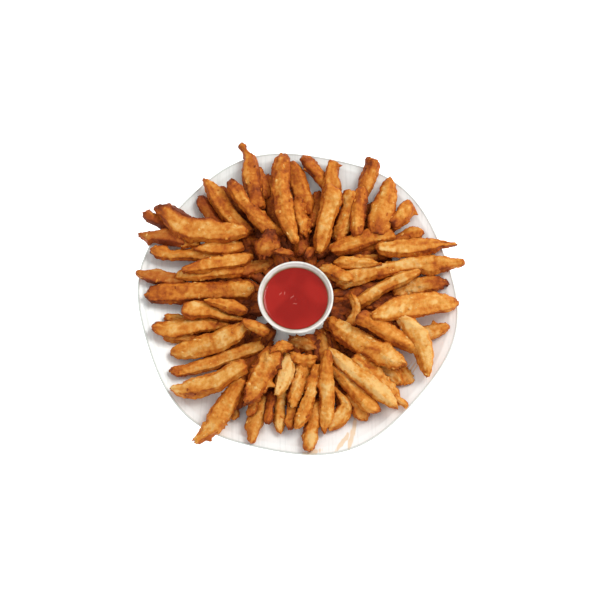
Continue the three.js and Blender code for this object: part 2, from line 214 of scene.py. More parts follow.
def glazedPorcelain(look=porcelainLook):
    # White porcelain with faint brushed colours under a clear glaze: streaky greys and a few peach
    # strokes, a lower right painted brighter and pinker as light falling there, and a thin grey-green
    # line of painted shade round the edge
    material, tree, place = startMaterial('GlazedPorcelain')
    waviness = noiseTone(tree, place, look['wave'], 2)
    across, along = perMetre(look['streak']), perMetre(look['streakRun'])
    drawn = addNode(tree, 'Mapping', {
        'Vector': place, 'Rotation': (0, 0, math.radians(look['streakTurn'])),
        'Scale': (across, along, along)}).outputs[0]
    streaks = addNode(tree, 'TexNoise', {'Vector': drawn, 'Scale': 1, 'Detail': 3}).outputs['Fac']
    # The lower right is painted brighter and pinker as light falling there, the upper left duller and
    # greener as painted shade; the waviness adds a random tone
    aside = addNode(tree, 'VectorMath', {
        0: place, 1: look['litSideWay']}, operation='DOT_PRODUCT').outputs['Value']
    waveAndPaintedLight = maths(tree, 'ADD', aside, waviness)
    colour = colourRamp(tree, waveAndPaintedLight, (0.25, look['shadedWhite']), (0.75, look['litWhite']))
    colour = painted(tree, colour, ranged(tree, streaks, 0.5, 0.68, 0, 0.34), look['grey'])
    colour = painted(tree, colour, ranged(tree, waveAndPaintedLight, 0.6, 0.95, 0, 0.4), look['litPink'])
    ragged = ranged(tree, streaks, 0.35, 0.65, -0.3, 0.4)
    for stroke in look['strokes']:
        colour = painted(tree, colour, brushMask(tree, place, stroke, ragged), look['peach'])
    # The outer lip is painted grey-green: painted shade round the rim's edge
    rimShade = colourRamp(tree, storedTone(tree, 'ring'), (0.984, 0), (0.994, 0.6), (1, 0.6))
    return finishMaterial(material, {
        'Base Color': painted(tree, colour, rimShade, look['edge']), 'Roughness': look['roughness'],
        'Normal': bumped(tree, waviness, 0.25, 1.5), 'IOR': 1.5})


stonewareLook = dict(
    body='#f4f3ee', speck='#d9d7cd', cloud=14, stain='#8a6228', stainSize=9, stainWander=-1.6,
    stainFrom=36.6, stainLow=37.2, stainHigh=39.2, roughness=0.2)


def glazedStoneware(look=stonewareLook):
    # A dip pot of white-glazed stoneware, with the glaze thinner and greyer here and there and a
    # thin oily film that the ketchup has left on its inner wall
    material, tree, place = startMaterial('GlazedStoneware')
    cloud = noiseTone(tree, place, look['cloud'], 4)
    colour = colourRamp(tree, cloud, (0.3, look['speck']), (0.55, look['body']))
    upright = addNode(tree, 'SeparateXYZ', {0: place}).outputs['Z']
    aroundPot = noiseTone(tree, place, look['stainSize'], 2)
    film = maths(tree, 'MULTIPLY_ADD', aroundPot, look['stainWander'] / metre, upright)
    stained = ranged(tree, film, look['stainLow'] / metre, look['stainHigh'] / metre, 0.9, 0)
    highUp = maths(tree, 'GREATER_THAN', upright, look['stainFrom'] / metre)
    for where in (highUp, storedTone(tree, 'inner')):
        stained = maths(tree, 'MULTIPLY', stained, where)
    return finishMaterial(material, {
        'Base Color': painted(tree, colour, stained, look['stain']), 'Roughness': look['roughness'],
        'IOR': 1.5})


sauceLook = dict(body='#a91e15', deep='#99150c', curlHighlight='#dd9388', swirl=28, pulp=1.6, roughness=0.15)


def tomatoSauce(look=sauceLook):
    # Smooth ketchup: wet, deep red, with light that sinks a little into it, and pale painted
    # highlights on the crests of the small curls in its surface
    material, tree, place = startMaterial('TomatoKetchup')
    swirl = noiseTone(tree, place, look['swirl'], 1, Distortion=0.2)
    colour = colourRamp(tree, swirl, (0.38, look['deep']), (0.54, look['body']))
    pulp = noiseTone(tree, place, look['pulp'], 3)
    return finishMaterial(material, {
        'Base Color': painted(tree, colour, storedTone(tree, 'curlHighlight'), look['curlHighlight']),
        'Roughness': look['roughness'], 'Normal': bumped(tree, pulp, 0.12, 0.25),
        'Specular IOR Level': 0.25, 'Subsurface Weight': 0.25, 'Subsurface Radius': (1, 0.2, 0.1),
        'Subsurface Scale': 1.5 / metre})


def backlitAcrylic():
    # The plain table: opal acrylic lit softly from below, as product photographers use, so it is
    # near white with weak shadows
    material, tree, place = startMaterial('BacklitOpalAcrylic')
    colour = colourRamp(tree, noiseTone(tree, place, 300, 2), (0.3, '#f4f4f3'), (0.7, '#f8f8f8'))
    return finishMaterial(material, {
        'Base Color': colour, 'Emission Color': colour, 'Emission Strength': 0.66, 'Roughness': 0.9})


# ---- Pieces ----
def finishPiece(bm, name, material, slotName, *nodes):
    bmesh.ops.translate(bm, verts=bm.verts, vec=-footprintMiddle)
    bmesh.ops.scale(bm, verts=bm.verts, vec=(1 / metre,) * 3)
    mesh = bpy.data.meshes.new(name)
    bm.to_mesh(mesh)
    bm.free()
    mesh.shade_smooth()
    mesh.materials.append(material)
    piece = bpy.data.objects.new(name, mesh)
    bpy.context.scene.collection.objects.link(piece)
    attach(piece, 'root')
    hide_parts(*nodes)
    mesh.calc_loop_triangles()
    print(name, len(mesh.loop_triangles), 'triangles')
    return piece


def spunShape(profile, steps):
    bm = bmesh.new()
    points = [bm.verts.new((radius, 0, height)) for radius, height in profile]
    edges = [bm.edges.new(pair) for pair in zip(points, points[1:])]
    bmesh.ops.spin(bm, geom=points + edges, cent=(0, 0, 0), axis=(0, 0, 1), angle=2 * math.pi,
                   steps=steps, use_merge=True)
    bmesh.ops.remove_doubles(bm, verts=bm.verts, dist=0.001)
    bmesh.ops.recalc_face_normals(bm, faces=bm.faces)
    return bm


def spaced(low, high, count):
    return [lerp(low, high, i / count) for i in range(count + 1)]


# ---- Plate ----
plate = dict(
    rimRadius=138.5, rimHeight=22, floorRadius=72, floorHeight=6, climbPower=1.5, floorWall=4, rimWall=2.8,
    footRadius=55, footWidth=5, footSlant=1.3, lobes=6, lobeHeight=2.5, lobeTurn=71, steps=264,
    bandRadius=131.5, bandWidth=1.6, bandRise=0.35, bellyRings=(10, 48, 4), underRings=(64, 136, 14),
    edgeRings=(116, 137, 26), floorRings=(8, 114, 24), lipTurns=(-80, 80, 8))


def climbShare(radius):
    return max(0, (radius - plate['floorRadius']) / (plate['rimRadius'] - plate['floorRadius']))


def plateTop(radius):
    rise = plate['rimHeight'] - plate['floorHeight']
    return plate['floorHeight'] + rise * climbShare(radius) ** plate['climbPower']


def plateUnder(radius):
    return plateTop(radius) - lerp(plate['floorWall'], plate['rimWall'], climbShare(radius))


def lobeFactor(angle, radius):
    swell = plate['lobeHeight'] / plate['rimRadius']
    turn = math.radians(plate['lobeTurn'])
    return 1 + swell * math.cos(plate['lobes'] * angle + turn) * (radius / plate['rimRadius']) ** 2


def glazeTop(radius):
    fromBand = (radius - plate['bandRadius']) / plate['bandWidth']
    return plateTop(radius) + plate['bandRise'] * math.exp(-fromBand ** 2)


def plateProfile():
    belly = plate['floorHeight'] - plate['floorWall']
    footInner = plate['footRadius'] - plate['footWidth'] / 2
    footOuter = plate['footRadius'] + plate['footWidth'] / 2
    halfWall = plate['rimWall'] / 2
    foot = [(footInner - plate['footSlant'], belly), (footInner - 0.3, 0.4), (footInner + 0.5, 0),
            (footOuter - 0.5, 0), (footOuter + 0.3, 0.4), (footOuter + plate['footSlant'], belly)]
    lipMiddle = plate['rimHeight'] - halfWall
    lip = [(plate['rimRadius'] + halfWall * (turnBy(turn).real - 1),
            lipMiddle + halfWall * turnBy(turn).imag) for turn in spaced(*plate['lipTurns'])]
    return [
        (0, belly), *[(radius, belly) for radius in spaced(*plate['bellyRings'])], *foot,
        *[(radius, plateUnder(radius)) for radius in spaced(*plate['underRings'])],
        *lip,
        *[(radius, glazeTop(radius)) for radius in reversed(spaced(*plate['edgeRings']))],
        *[(radius, glazeTop(radius)) for radius in reversed(spaced(*plate['floorRings']))],
        (0, plate['floorHeight'])]


def makePlate():
    bm = spunShape(plateProfile(), plate['steps'])
    ringLayer = bm.verts.layers.float.new('ring')
    for vert in bm.verts:
        radius = math.hypot(vert.co.x, vert.co.y)
        vert[ringLayer] = radius / plate['rimRadius']
        factor = lobeFactor(math.atan2(vert.co.y, vert.co.x), radius)
        vert.co.x *= factor
        vert.co.y *= factor
    finishPiece(bm, 'porcelainPlate', glazedPorcelain(), 'plate_glaze', 'plate')


makePlate()

# ---- Pot and ketchup ----
pot = dict(
    x=-1.6, y=-5, rimRadius=32.5, rimHeight=42, mouthRadius=30.4, mouthHeight=41, footRadius=20.5,
    footHeight=6.3, footWidth=3, footDeep=1, floorRadius=17, floorHeight=11, floorBevel=1.6,
    outerFlare=2.2, innerFlare=1.8, underLip=0.8, rings=20, steps=144)
sauce = dict(
    height=37, climb=0.95, climbRun=2.2, intoWall=0.3, rings=60, swirlHeight=0.12, swirlWave=0.45,
    swirlArms=2, swirlRun=20, dentHeight=0.16, dentSize=7, curlHeight=0.16, curlWave=2.4, curlSway=0.6,
    curlSwayWave=1.3, curlWide=1.3,
    curls=[(-13, 4.5, 75, 1.8), (-9.5, 5, 110, 1.6), (-3, 1.5, 60, 2.2), (-0.5, -4.5, 20, 2)])


def flare(lowRadius, lowHeight, highRadius, highHeight, power, height):
    share = clamp((height - lowHeight) / (highHeight - lowHeight))
    return lerp(lowRadius, highRadius, share ** power)


def potOuter(height):
    return flare(pot['footRadius'], pot['footHeight'], pot['rimRadius'], pot['mouthHeight'],
                 pot['outerFlare'], height)


def potInner(height):
    return flare(pot['floorRadius'], pot['floorHeight'], pot['mouthRadius'], pot['mouthHeight'],
                 pot['innerFlare'], height)


def makePot():
    hollow = pot['footHeight'] + pot['footDeep']
    footInner = pot['footRadius'] - pot['footWidth']
    lipMiddle = (pot['rimRadius'] + pot['mouthRadius']) / 2
    lipHalf = (pot['rimRadius'] - pot['mouthRadius']) / 2
    lipRise = pot['rimHeight'] - pot['mouthHeight']
    lip = [(lipMiddle + lipHalf * turnBy(turn).real, pot['mouthHeight'] + lipRise * turnBy(turn).imag)
           for turn in spaced(0, 180, 10)]
    wallTop = pot['mouthHeight'] - pot['underLip']
    profile = [
        (0, hollow), (footInner - 0.8, hollow), (footInner, pot['footHeight'] + 0.3),
        (footInner + 0.4, pot['footHeight']), (pot['footRadius'] - 0.5, pot['footHeight']),
        *[(potOuter(height), height) for height in spaced(pot['footHeight'] + 0.5, wallTop, pot['rings'])],
        *lip,
        *[(potInner(height), height) for height in
          reversed(spaced(pot['floorHeight'] + pot['floorBevel'], wallTop, pot['rings']))],
        (pot['floorRadius'] - 0.5, pot['floorHeight'] + 0.5),
        (pot['floorRadius'] - pot['floorBevel'], pot['floorHeight']),
        (0, pot['floorHeight'])]
    bm = spunShape(profile, pot['steps'])
    innerLayer = bm.verts.layers.float.new('inner')
    for vert in bm.verts:
        vert[innerLayer] = math.hypot(vert.co.x, vert.co.y) < potInner(vert.co.z) + 0.3
    bmesh.ops.translate(bm, verts=bm.verts, vec=(pot['x'], pot['y'], 0))
    finishPiece(bm, 'dipPot', glazedStoneware(), 'pot_glaze', 'dip_pot')


def curlAt(x, y):
    # The small curls that the spoon left in the surface: (x, y, turn, size), from the pot's middle
    curls = 0
    for curlX, curlY, turn, size in sauce['curls']:
        fromCurl = complex(x - curlX, y - curlY) * turnBy(-turn)
        along, across = fromCurl.real, fromCurl.imag
        sway = sauce['curlSway'] * math.sin(sauce['curlSwayWave'] * along)
        wave = math.cos(sauce['curlWave'] * (across + sway))
        curls += wave * math.exp(-(along / size) ** 2 - (across / sauce['curlWide']) ** 2)
    return curls


def sauceTop(x, y, edge):
    fromCentre = math.hypot(x, y)
    meniscus = sauce['climb'] * math.exp(-(edge - fromCentre) / sauce['climbRun'])
    arms = math.sin(sauce['swirlWave'] * fromCentre + sauce['swirlArms'] * math.atan2(y, x))
    swirl = sauce['swirlHeight'] * arms * math.exp(-(fromCentre / sauce['swirlRun']) ** 2)
    dents = sauce['dentHeight'] * noise.noise(Vector((x, y, 0)) / sauce['dentSize'])
    return sauce['height'] + meniscus + swirl + sauce['curlHeight'] * curlAt(x, y) + dents


def makeSauce():
    edge = potInner(sauce['height']) + sauce['intoWall']
    low = pot['floorHeight'] + 0.2
    profile = [
        (0, low), (pot['floorRadius'] - pot['floorBevel'], low),
        *[(potInner(height) + sauce['intoWall'] / 2, height) for height in spaced(13, 35, 6)],
        *[(radius, sauce['height']) for radius in reversed(spaced(0, edge, sauce['rings']))]]
    bm = spunShape(profile, pot['steps'])
    curlHighlightLayer = bm.verts.layers.float.new('curlHighlight')
    for vert in bm.verts:
        if vert.co.z > sauce['height'] - 0.01:
            # pale colour on the crests of the curls: a painted highlight
            vert[curlHighlightLayer] = clamp(curlAt(vert.co.x, vert.co.y) - 0.25, 0, 0.5)
            vert.co.z = sauceTop(vert.co.x, vert.co.y, edge)
    bmesh.ops.translate(bm, verts=bm.verts, vec=(pot['x'], pot['y'], 0))
    finishPiece(bm, 'ketchupFill', tomatoSauce(), 'ketchup', 'ketchup')


makePot()
makeSauce()

# ---- Fries ----
# A fry goes from its outer tip to its inner root, in millimetres on the plan of the plate, and wide
# is its width. The ends narrow to tipWide and rootWide over the shares tipRun and rootRun, bow
# bends it sideways and roll turns it on its axis. An uneven fry has edges instead, measured
# on the photograph: (share of the length, millimetres to its left edge, to its right edge).
# brown goes from -1, pale, to 1, dark, and beyond, tipBrown is more of it at the tip, red is the
# share of reddish crust, wrinkle is how creased it is lengthways and rough how crumbly. A mark is a
# paler or darker patch: (share of the length, -1 right to 1 left, run along, size across, tone). A
# lump is (share of the length, degrees round the section, size, height). lift is how much higher
# the tip and the root lean on their neighbours than the resting rule has them, and solid is the
# plain bar that stands for the fry in the solids, where that isn't the same.
plainFry = dict(bow=0, roll=0, tipWide=0.7, rootWide=0.8, tipRun=0.2, rootRun=0.2, brown=0, red=0,
                tipBrown=0, wrinkle=0.3, rough=0.5, lift=(0, 0), edges=(), marks=(), lumps=(), solid=None)
fryForm = dict(squareness=0.62, thickShare=0.8, thinnest=6.5, thickest=13, endThick=0.4, wobble=0.035)


def fry(tip, root, wide, **details):
    thick = clamp(fryForm['thickShare'] * wide, fryForm['thinnest'], fryForm['thickest'])
    one = SimpleNamespace(**{**plainFry, 'thick': thick, **details})
    one.tip, one.root, one.wide = complex(*tip), complex(*root), wide
    one.length = abs(one.root - one.tip)
    one.side = 1j * (one.root - one.tip) / one.length
    return one


bottomFries = [
    fry((-25, 116), (-17, 64), 13, brown=0.3, red=0.25, marks=[(0.6, 0, 14, 5, 0.4)],
        solid=fry((-26, 114), (-18, 64), 10)),
    fry((-34, 124), (-27, 94), 9, brown=0.3, red=0.2,
        edges=[(0, 2, 5), (0.3, 4.5, 5), (0.7, 6, 5), (1, 5, 5)]),
    fry((-69, 104), (-48, 78), 11, brown=0.55, red=0.4, marks=[(0.1, 0, 6, 6, 0.5)]),
    fry((-87, 95), (-60, 54), 12, brown=0.5, red=0.5, marks=[(0.5, 0.8, 20, 4, 0.5)]),
    fry((6, 74), (3, 40), 13, brown=0.8, red=0.3),
    fry((14, 47), (8, 38), 8, brown=0.5),
    fry((19, 100), (12, 66), 9, brown=0.4, red=0.3),
    fry((90, 68), (60, 66), 12, brown=0.5, red=0.3),
    fry((80, 52), (33, 42), 9, brown=0.3),
    fry((72, 37), (50, 37), 7, brown=0.5),
    fry((131, 12), (84, 5), 10, tipWide=0.3, brown=-0.1, tipBrown=0.9, red=0.1, rough=1,
        edges=[(-0.01, 2.5, 3.5), (0.05, 1.5, 5), (0.14, 3, 7.5), (0.26, 4.5, 9.5), (0.6, 4.5, 8.5),
               (1, 4.5, 4.5)], marks=[(0.25, 0.3, 4, 3, 0.4)],
        lumps=[(0.02, 60, 2, 1.5), (0.1, 20, 1.8, 1.8), (0.1, 165, 1.8, 1.6)]),
    fry((48, 4), (45, -25), 8, bow=5, brown=0.2, red=0.15, lift=(9, 9), solid=fry((50, 2), (44, -25), 7)),
    fry((131, -26), (88, -38), 12, bow=-2, tipWide=0.5, brown=-0.15,
        edges=[(0, 2, 1.5), (0.06, 4, 3.5), (0.15, 6.5, 4), (0.27, 8.5, 3.5), (0.42, 10, 4), (1, 5.5, 6)],
        lumps=[(0.26, 180, 1.8, 4)]),
    fry((57, -108), (44, -86), 12, brown=0.25, red=0.2, marks=[(0.4, 0.6, 9, 3, 0.4)]),
    fry((25, -62), (20, -28), 10, brown=0.4, red=0.3, rootWide=0.5, solid=fry((25, -62), (20, -28), 9)),
    fry((14, -44), (-7, -38), 12, brown=0, red=0.5, rough=1.8),
    fry((-15, -119), (-13, -80), 10, brown=0.25,
        edges=[(-0.04, 0, 1), (0.03, 3, 2), (0.12, 5.5, 2.5), (0.24, 6.5, 3), (0.6, 6, 3), (1, 5.5, 3.5)],
        marks=[(0.12, 0.9, 6, 2, 0.5)], solid=fry((-15, -119), (-13, -80), 10, tipWide=0.45)),
    fry((-39, -128), (-28, -88), 15, tipWide=0.35, tipRun=0.4, brown=0.15, red=0.2, tipBrown=0.3,
        edges=[(0.01, 4, 1.5), (0.06, 5, 2.5), (0.18, 6.5, 3), (0.27, 10, 3), (0.44, 10, 4.5),
               (0.61, 6, 4.5), (1, 5, 4.5)], marks=[(0.35, 0.85, 10, 2.5, 0.4)]),
    fry((-53, -107), (-57, -80), 8, brown=0.25),
    fry((-116, -34), (-85, -38), 9, brown=0.4, red=0.2),
    fry((-115, -17), (-95, -20), 9, brown=0.15),
    fry((-50, 24), (-21, 34), 12, tipWide=0.5, rootWide=0.5, brown=0.05, red=0.55, rough=1.4,
        solid=fry((-49, 26), (-22, 33), 8)),
    fry((-134, 79), (-103, 61), 12, brown=0.5, red=0.4,
        edges=[(-0.06, 2.5, 2.5), (0.01, 5.5, 3.5), (0.1, 5.5, 5), (0.39, 5, 4.5), (0.58, 2.5, 4),
               (1, 0.5, 4.5)], marks=[(0.4, -0.7, 22, 3, 0.7), (0.2, 0.4, 8, 1.5, -0.4)]),
    fry((-140, 60), (-100, 54), 12, tipWide=0.2, tipRun=0.35, brown=0.45, red=0.7,
        edges=[(0, 1.5, 1.5), (0.06, 2.5, 2.5), (0.15, 4, 4.5), (0.25, 5.5, 7.5), (0.33, 6, 4.5),
               (0.6, 8.5, 5.5), (1, 4.5, 5)], marks=[(0.1, 0.4, 6, 2, -0.6), (0.6, -0.8, 12, 1.6, 0.9)]),
    fry((-142, 25), (-98, 18), 13, tipWide=0.12, tipRun=0.4, brown=0.4, red=0.7,
        edges=[(0.02, 0.5, 1.5), (0.08, 2, 3), (0.16, 2.5, 4.5), (0.28, 4, 6.5), (0.43, 5.5, 8),
               (0.61, 4.5, 7.5), (1, 4.5, 5)],
        marks=[(0.45, 0.8, 8, 1.5, -0.9), (0.3, -0.95, 9, 1.6, 0.6)]),
    fry((7, -136), (19, -92), 11, brown=0.5, red=0.1, rough=1,
        edges=[(0.04, 3.5, 4), (0.12, 5, 6), (0.28, 7, 6.5), (0.42, 8, 4), (1, 7, 3.5)],
        marks=[(0.14, -0.3, 5, 3, -0.7), (0.3, -0.2, 4, 2.5, -0.6), (0.5, 0.7, 14, 3, 0.5)],
        lumps=[(0.14, 110, 2, 1), (0.3, 100, 1.6, 0.9)], solid=fry((7, -136), (19, -92), 11, tipWide=0.8)),
    fry((-8, -115), (-4, -90), 9, brown=1.2, red=0.1),
    fry((-26, -111), (-22, -84), 8, brown=1.8, red=0.1, solid=fry((-26, -113), (-22, -84), 8)),
    fry((-51, -98), (-48, -64), 12, brown=0.5, red=0.2),
    fry((-40, -104), (-38, -84), 8, brown=0.5, red=0.4),
]

middleFries = [
    fry((-50, 146), (-38, 92), 14, bow=1, tipWide=0.36, tipRun=0.5, brown=0.3, red=0.1,
        edges=[(-0.02, 2.5, 1.5), (0.03, 4.5, 3.5), (0.075, 4, 2), (0.12, 5, 0.5), (0.24, 9.5, 1.5),
               (0.4, 10, 4.5), (0.59, 8.5, 7.5), (0.8, 9, 7), (1.15, 9, 6)],
        marks=[(0.95, -0.3, 8, 6, 0.4), (0.3, 0.2, 8, 3, 0.2)]),
    fry((-79, 110), (-43, 60), 15, tipWide=0.6,
        edges=[(-0.08, -1.5, 3.5), (-0.01, 1.5, 4.5), (0.09, 4, 7), (0.21, 5.5, 9), (0.38, 4.5, 10),
               (0.57, 3.5, 10), (1, 6, 8)], marks=[(0.3, 0.5, 14, 3, 0.2), (0.55, -0.6, 14, 2, -0.4)]),
    fry((-1, 128), (12, 84), 11,
        edges=[(-0.03, 0, 6), (0.05, 3, 9), (0.26, 5, 11), (0.6, 5, 11), (0.85, 4.5, 9), (1.1, 1, 5)]),
    fry((0, 93), (7, 58), 12, rootWide=0.5, rough=2, brown=0.35,
        lumps=[(0.04, 60, 2.5, 2.5), (0.08, 160, 2, 2.5), (0.2, 100, 2, 1.5)],
        solid=fry((1, 91), (6, 60), 9)),
    fry((9, 133), (28, 104), 13, brown=0.15,
        edges=[(-0.06, 1, 6), (0.01, 4, 5.5), (0.1, 5.5, 7), (0.23, 5, 8), (0.58, 6, 6.5), (1, 5.5, 5)],
        marks=[(0.4, -0.85, 16, 2, 0.8)]),
    fry((33, 127), (27, 88), 12, tipWide=0.9, brown=0.05,
        edges=[(-0.05, 4, 5), (0.02, 5.5, 5), (0.24, 6, 6), (0.39, 8.5, 6), (0.58, 10, 6), (1, 9, 5)],
        lumps=[(0.02, 10, 1.3, 4)]),
    fry((68, 129), (57, 92), 13, brown=0.1, tipBrown=0.25, red=0.1, rough=0.2,
        edges=[(-0.045, 7.5, 6.5), (0, 8, 6.5), (0.07, 8.5, 6), (0.37, 8, 6), (0.56, 7.5, 6),
               (1, 5, 4.5)], marks=[(0.15, -0.2, 6, 3, 0.4)],
        solid=fry((68, 129), (57, 92), 13, tipWide=0.95)),
    fry((49, 97), (35, 52), 16, brown=-0.35, lift=(2, 2), rough=0.9,
        edges=[(-0.03, 7, 8), (0.1, 8, 8), (0.35, 9, 6), (0.7, 7, 6.5), (1, 4, 3.5)],
        marks=[(0.8, 0, 8, 5, 0.5), (0.5, -0.9, 16, 2, 0.4)], solid=fry((49, 97), (35, 52), 12)),
    fry((102, 87), (84, 68), 15, tipWide=0.5, brown=-0.1,
        edges=[(-0.02, 2, 6), (0.04, 4.5, 6.5), (0.13, 6.5, 7.5), (0.25, 8, 7.5), (0.6, 8, 5.5),
               (1, 6.5, 5.5)],
        marks=[(0.2, 0.2, 3, 2, -0.7), (0.4, -0.2, 3, 2, -0.4), (0.6, 0.2, 4, 2, -0.5),
               (0.95, 0, 4, 4, 0.9)], lumps=[(0.12, 0, 1.6, 4.5), (0.2, 75, 2, 1), (0.6, 75, 2, 1)]),
    fry((113, 60), (80, 54), 10, brown=0.1,
        edges=[(0.01, 0.5, 2.5), (0.07, 1.5, 5), (0.16, 4, 7), (0.28, 4, 8), (0.43, 4, 7.5),
               (0.7, 4.5, 4), (1, 5, 2)], marks=[(0.8, -0.5, 8, 4, 0.5)]),
    fry((112, -69), (89, -12), 14, bow=-5, lift=(3, 9), brown=-0.25, wrinkle=0.9,
        edges=[(-0.03, 2.5, 1), (0.04, 4.5, 3.5), (0.13, 6.5, 6), (0.25, 7.5, 8), (0.45, 9, 9.5),
               (0.6, 9, 9.5), (0.79, 8, 6.5), (0.92, 7, 1.5), (1.05, 5.5, -4.5)],
        marks=[(0.12, 0.8, 9, 2.5, 0.5), (0.85, 0, 8, 4, -0.5)],
        solid=fry((112, -69), (89, -12), 14, bow=-5, tipWide=0.5, tipRun=0.3)),
    fry((85, -79), (54, -47), 14, brown=-0.05, rough=0.8,
        edges=[(-0.01, 0.5, 8), (0.05, 2, 9), (0.14, 2.5, 11), (0.26, 3, 11.5), (0.41, 4.5, 8.5),
               (1, 5, 6)], marks=[(0.08, 0.4, 6, 1.5, 0.6), (0.4, 0, 10, 2, 0.3)]),
    fry((66, -102), (30, -61), 13, brown=0.2, marks=[(0.5, 0.8, 16, 3, 0.5)]),
    fry((27, -117), (31, -80), 10, bow=-12,
        edges=[(0, 2, 2), (0.12, 8, 6), (0.3, 11.5, 6), (0.5, 9, 4.5), (0.65, 3.5, 4), (1, 3, 3)],
        solid=fry((27, -116), (30, -80), 9, bow=-12)),
    fry((-6, -96), (9, -55), 16, brown=0.1, rough=1.3,
        edges=[(0, 2, 3), (0.08, 5, 4.5), (0.3, 6, 6), (0.6, 7.5, 6.5), (0.85, 9, 7), (1, 7, 6)],
        marks=[(0.5, 0.2, 12, 2, -0.5), (0.15, 0.9, 6, 2, 0.4)], solid=fry((-6, -95), (9, -56), 13)),
    fry((1, -114), (16, -60), 11, brown=0.25, rough=1,
        edges=[(-0.02, 4, 0), (0.04, 4.5, 3), (0.13, 5, 4.5), (0.25, 4.5, 6), (0.59, 3, 6), (1, 3, 3.5)],
        marks=[(0.5, 0.8, 16, 1.5, 0.3), (0.15, 0, 5, 3, -0.3)]),
    fry((-84, -127), (-49, -72), 17, bow=-1, tipWide=0.6, tipRun=0.3, brown=0.3, rough=1,
        edges=[(-0.02, 5, 1.5), (0.04, 5.5, 2.5), (0.13, 5, 6.5), (0.26, 6, 9), (0.41, 7.5, 10.5),
               (0.8, 6.5, 7.5), (1, 4.5, 8)], marks=[(0.13, 0.6, 4, 2.5, 0.5), (0.02, 0, 4, 4, -0.3)],
        lumps=[(0.1, 185, 1.8, 3)]),
    fry((-108, -82), (-46, -60), 17, bow=-2.5, tipWide=0.3, tipRun=0.35, brown=0.1,
        edges=[(-0.01, 2.5, -0.5), (0.05, 4, 5.5), (0.14, 4, 9), (0.26, 5.5, 12), (0.41, 6, 11),
               (0.59, 6, 11), (0.8, 7, 8), (1, 6, 7)],
        marks=[(0.3, -0.1, 16, 1.5, 0.25), (0.3, -0.75, 14, 3, 0.3), (0.15, 0.5, 8, 2, -0.3)]),
    fry((-107, -65), (-30, -43), 12, brown=0.25,
        edges=[(-0.02, 2, 2), (0.04, 3, 6), (0.13, 2.5, 7.5), (0.26, 4, 8), (0.41, 3.5, 8.5),
               (0.59, 5, 6.5), (1, 6, 4.5)], marks=[(0.2, 0.5, 12, 3, 0.5), (0.55, -0.8, 16, 1.2, -0.5)]),
    fry((-125, -27), (-60, -21), 14, tipWide=0.7, tipBrown=0.6,
        edges=[(-0.01, 5, 2.5), (0.05, 6.5, 5.5), (0.14, 6, 8), (0.26, 6.5, 9), (0.59, 7, 7), (1, 2, 6)],
        marks=[(0.45, 0.2, 9, 3, -0.35), (0.85, -0.4, 6, 4, 0.7)]),
    fry((-98, -9), (-52, -18), 14, brown=-0.05,
        edges=[(-0.04, 5, 5), (0.02, 7, 7), (0.15, 9, 7.5), (0.33, 9, 5), (0.55, 6, 3.5), (0.8, 2.5, 4),
               (1.1, 1, 1.5)], marks=[(0.2, 0.3, 4, 2, -0.5), (0, 0.2, 4, 6, 0.4)],
        lumps=[(0.12, 60, 3, 1.2)], solid=fry((-98, -9), (-52, -18), 14, tipWide=0.9)),
    fry((-129, 44), (-60, 41), 12, brown=-0.05, tipBrown=0.4,
        edges=[(0, 3.5, 1), (0.06, 5.5, 5), (0.15, 6, 6.5), (0.27, 2, 7.5), (0.42, 3.5, 6.5),
               (0.6, 6.5, 6), (1, 5.5, 5)],
        marks=[(0.12, 0, 6, 5, 0.4), (0.4, 0, 8, 3, -0.3), (0.7, 0.9, 14, 2, 0.9)]),
    fry((-106, 22), (-48, 25), 11, brown=0, marks=[(0.85, 0, 6, 4, 0.4)]),
]

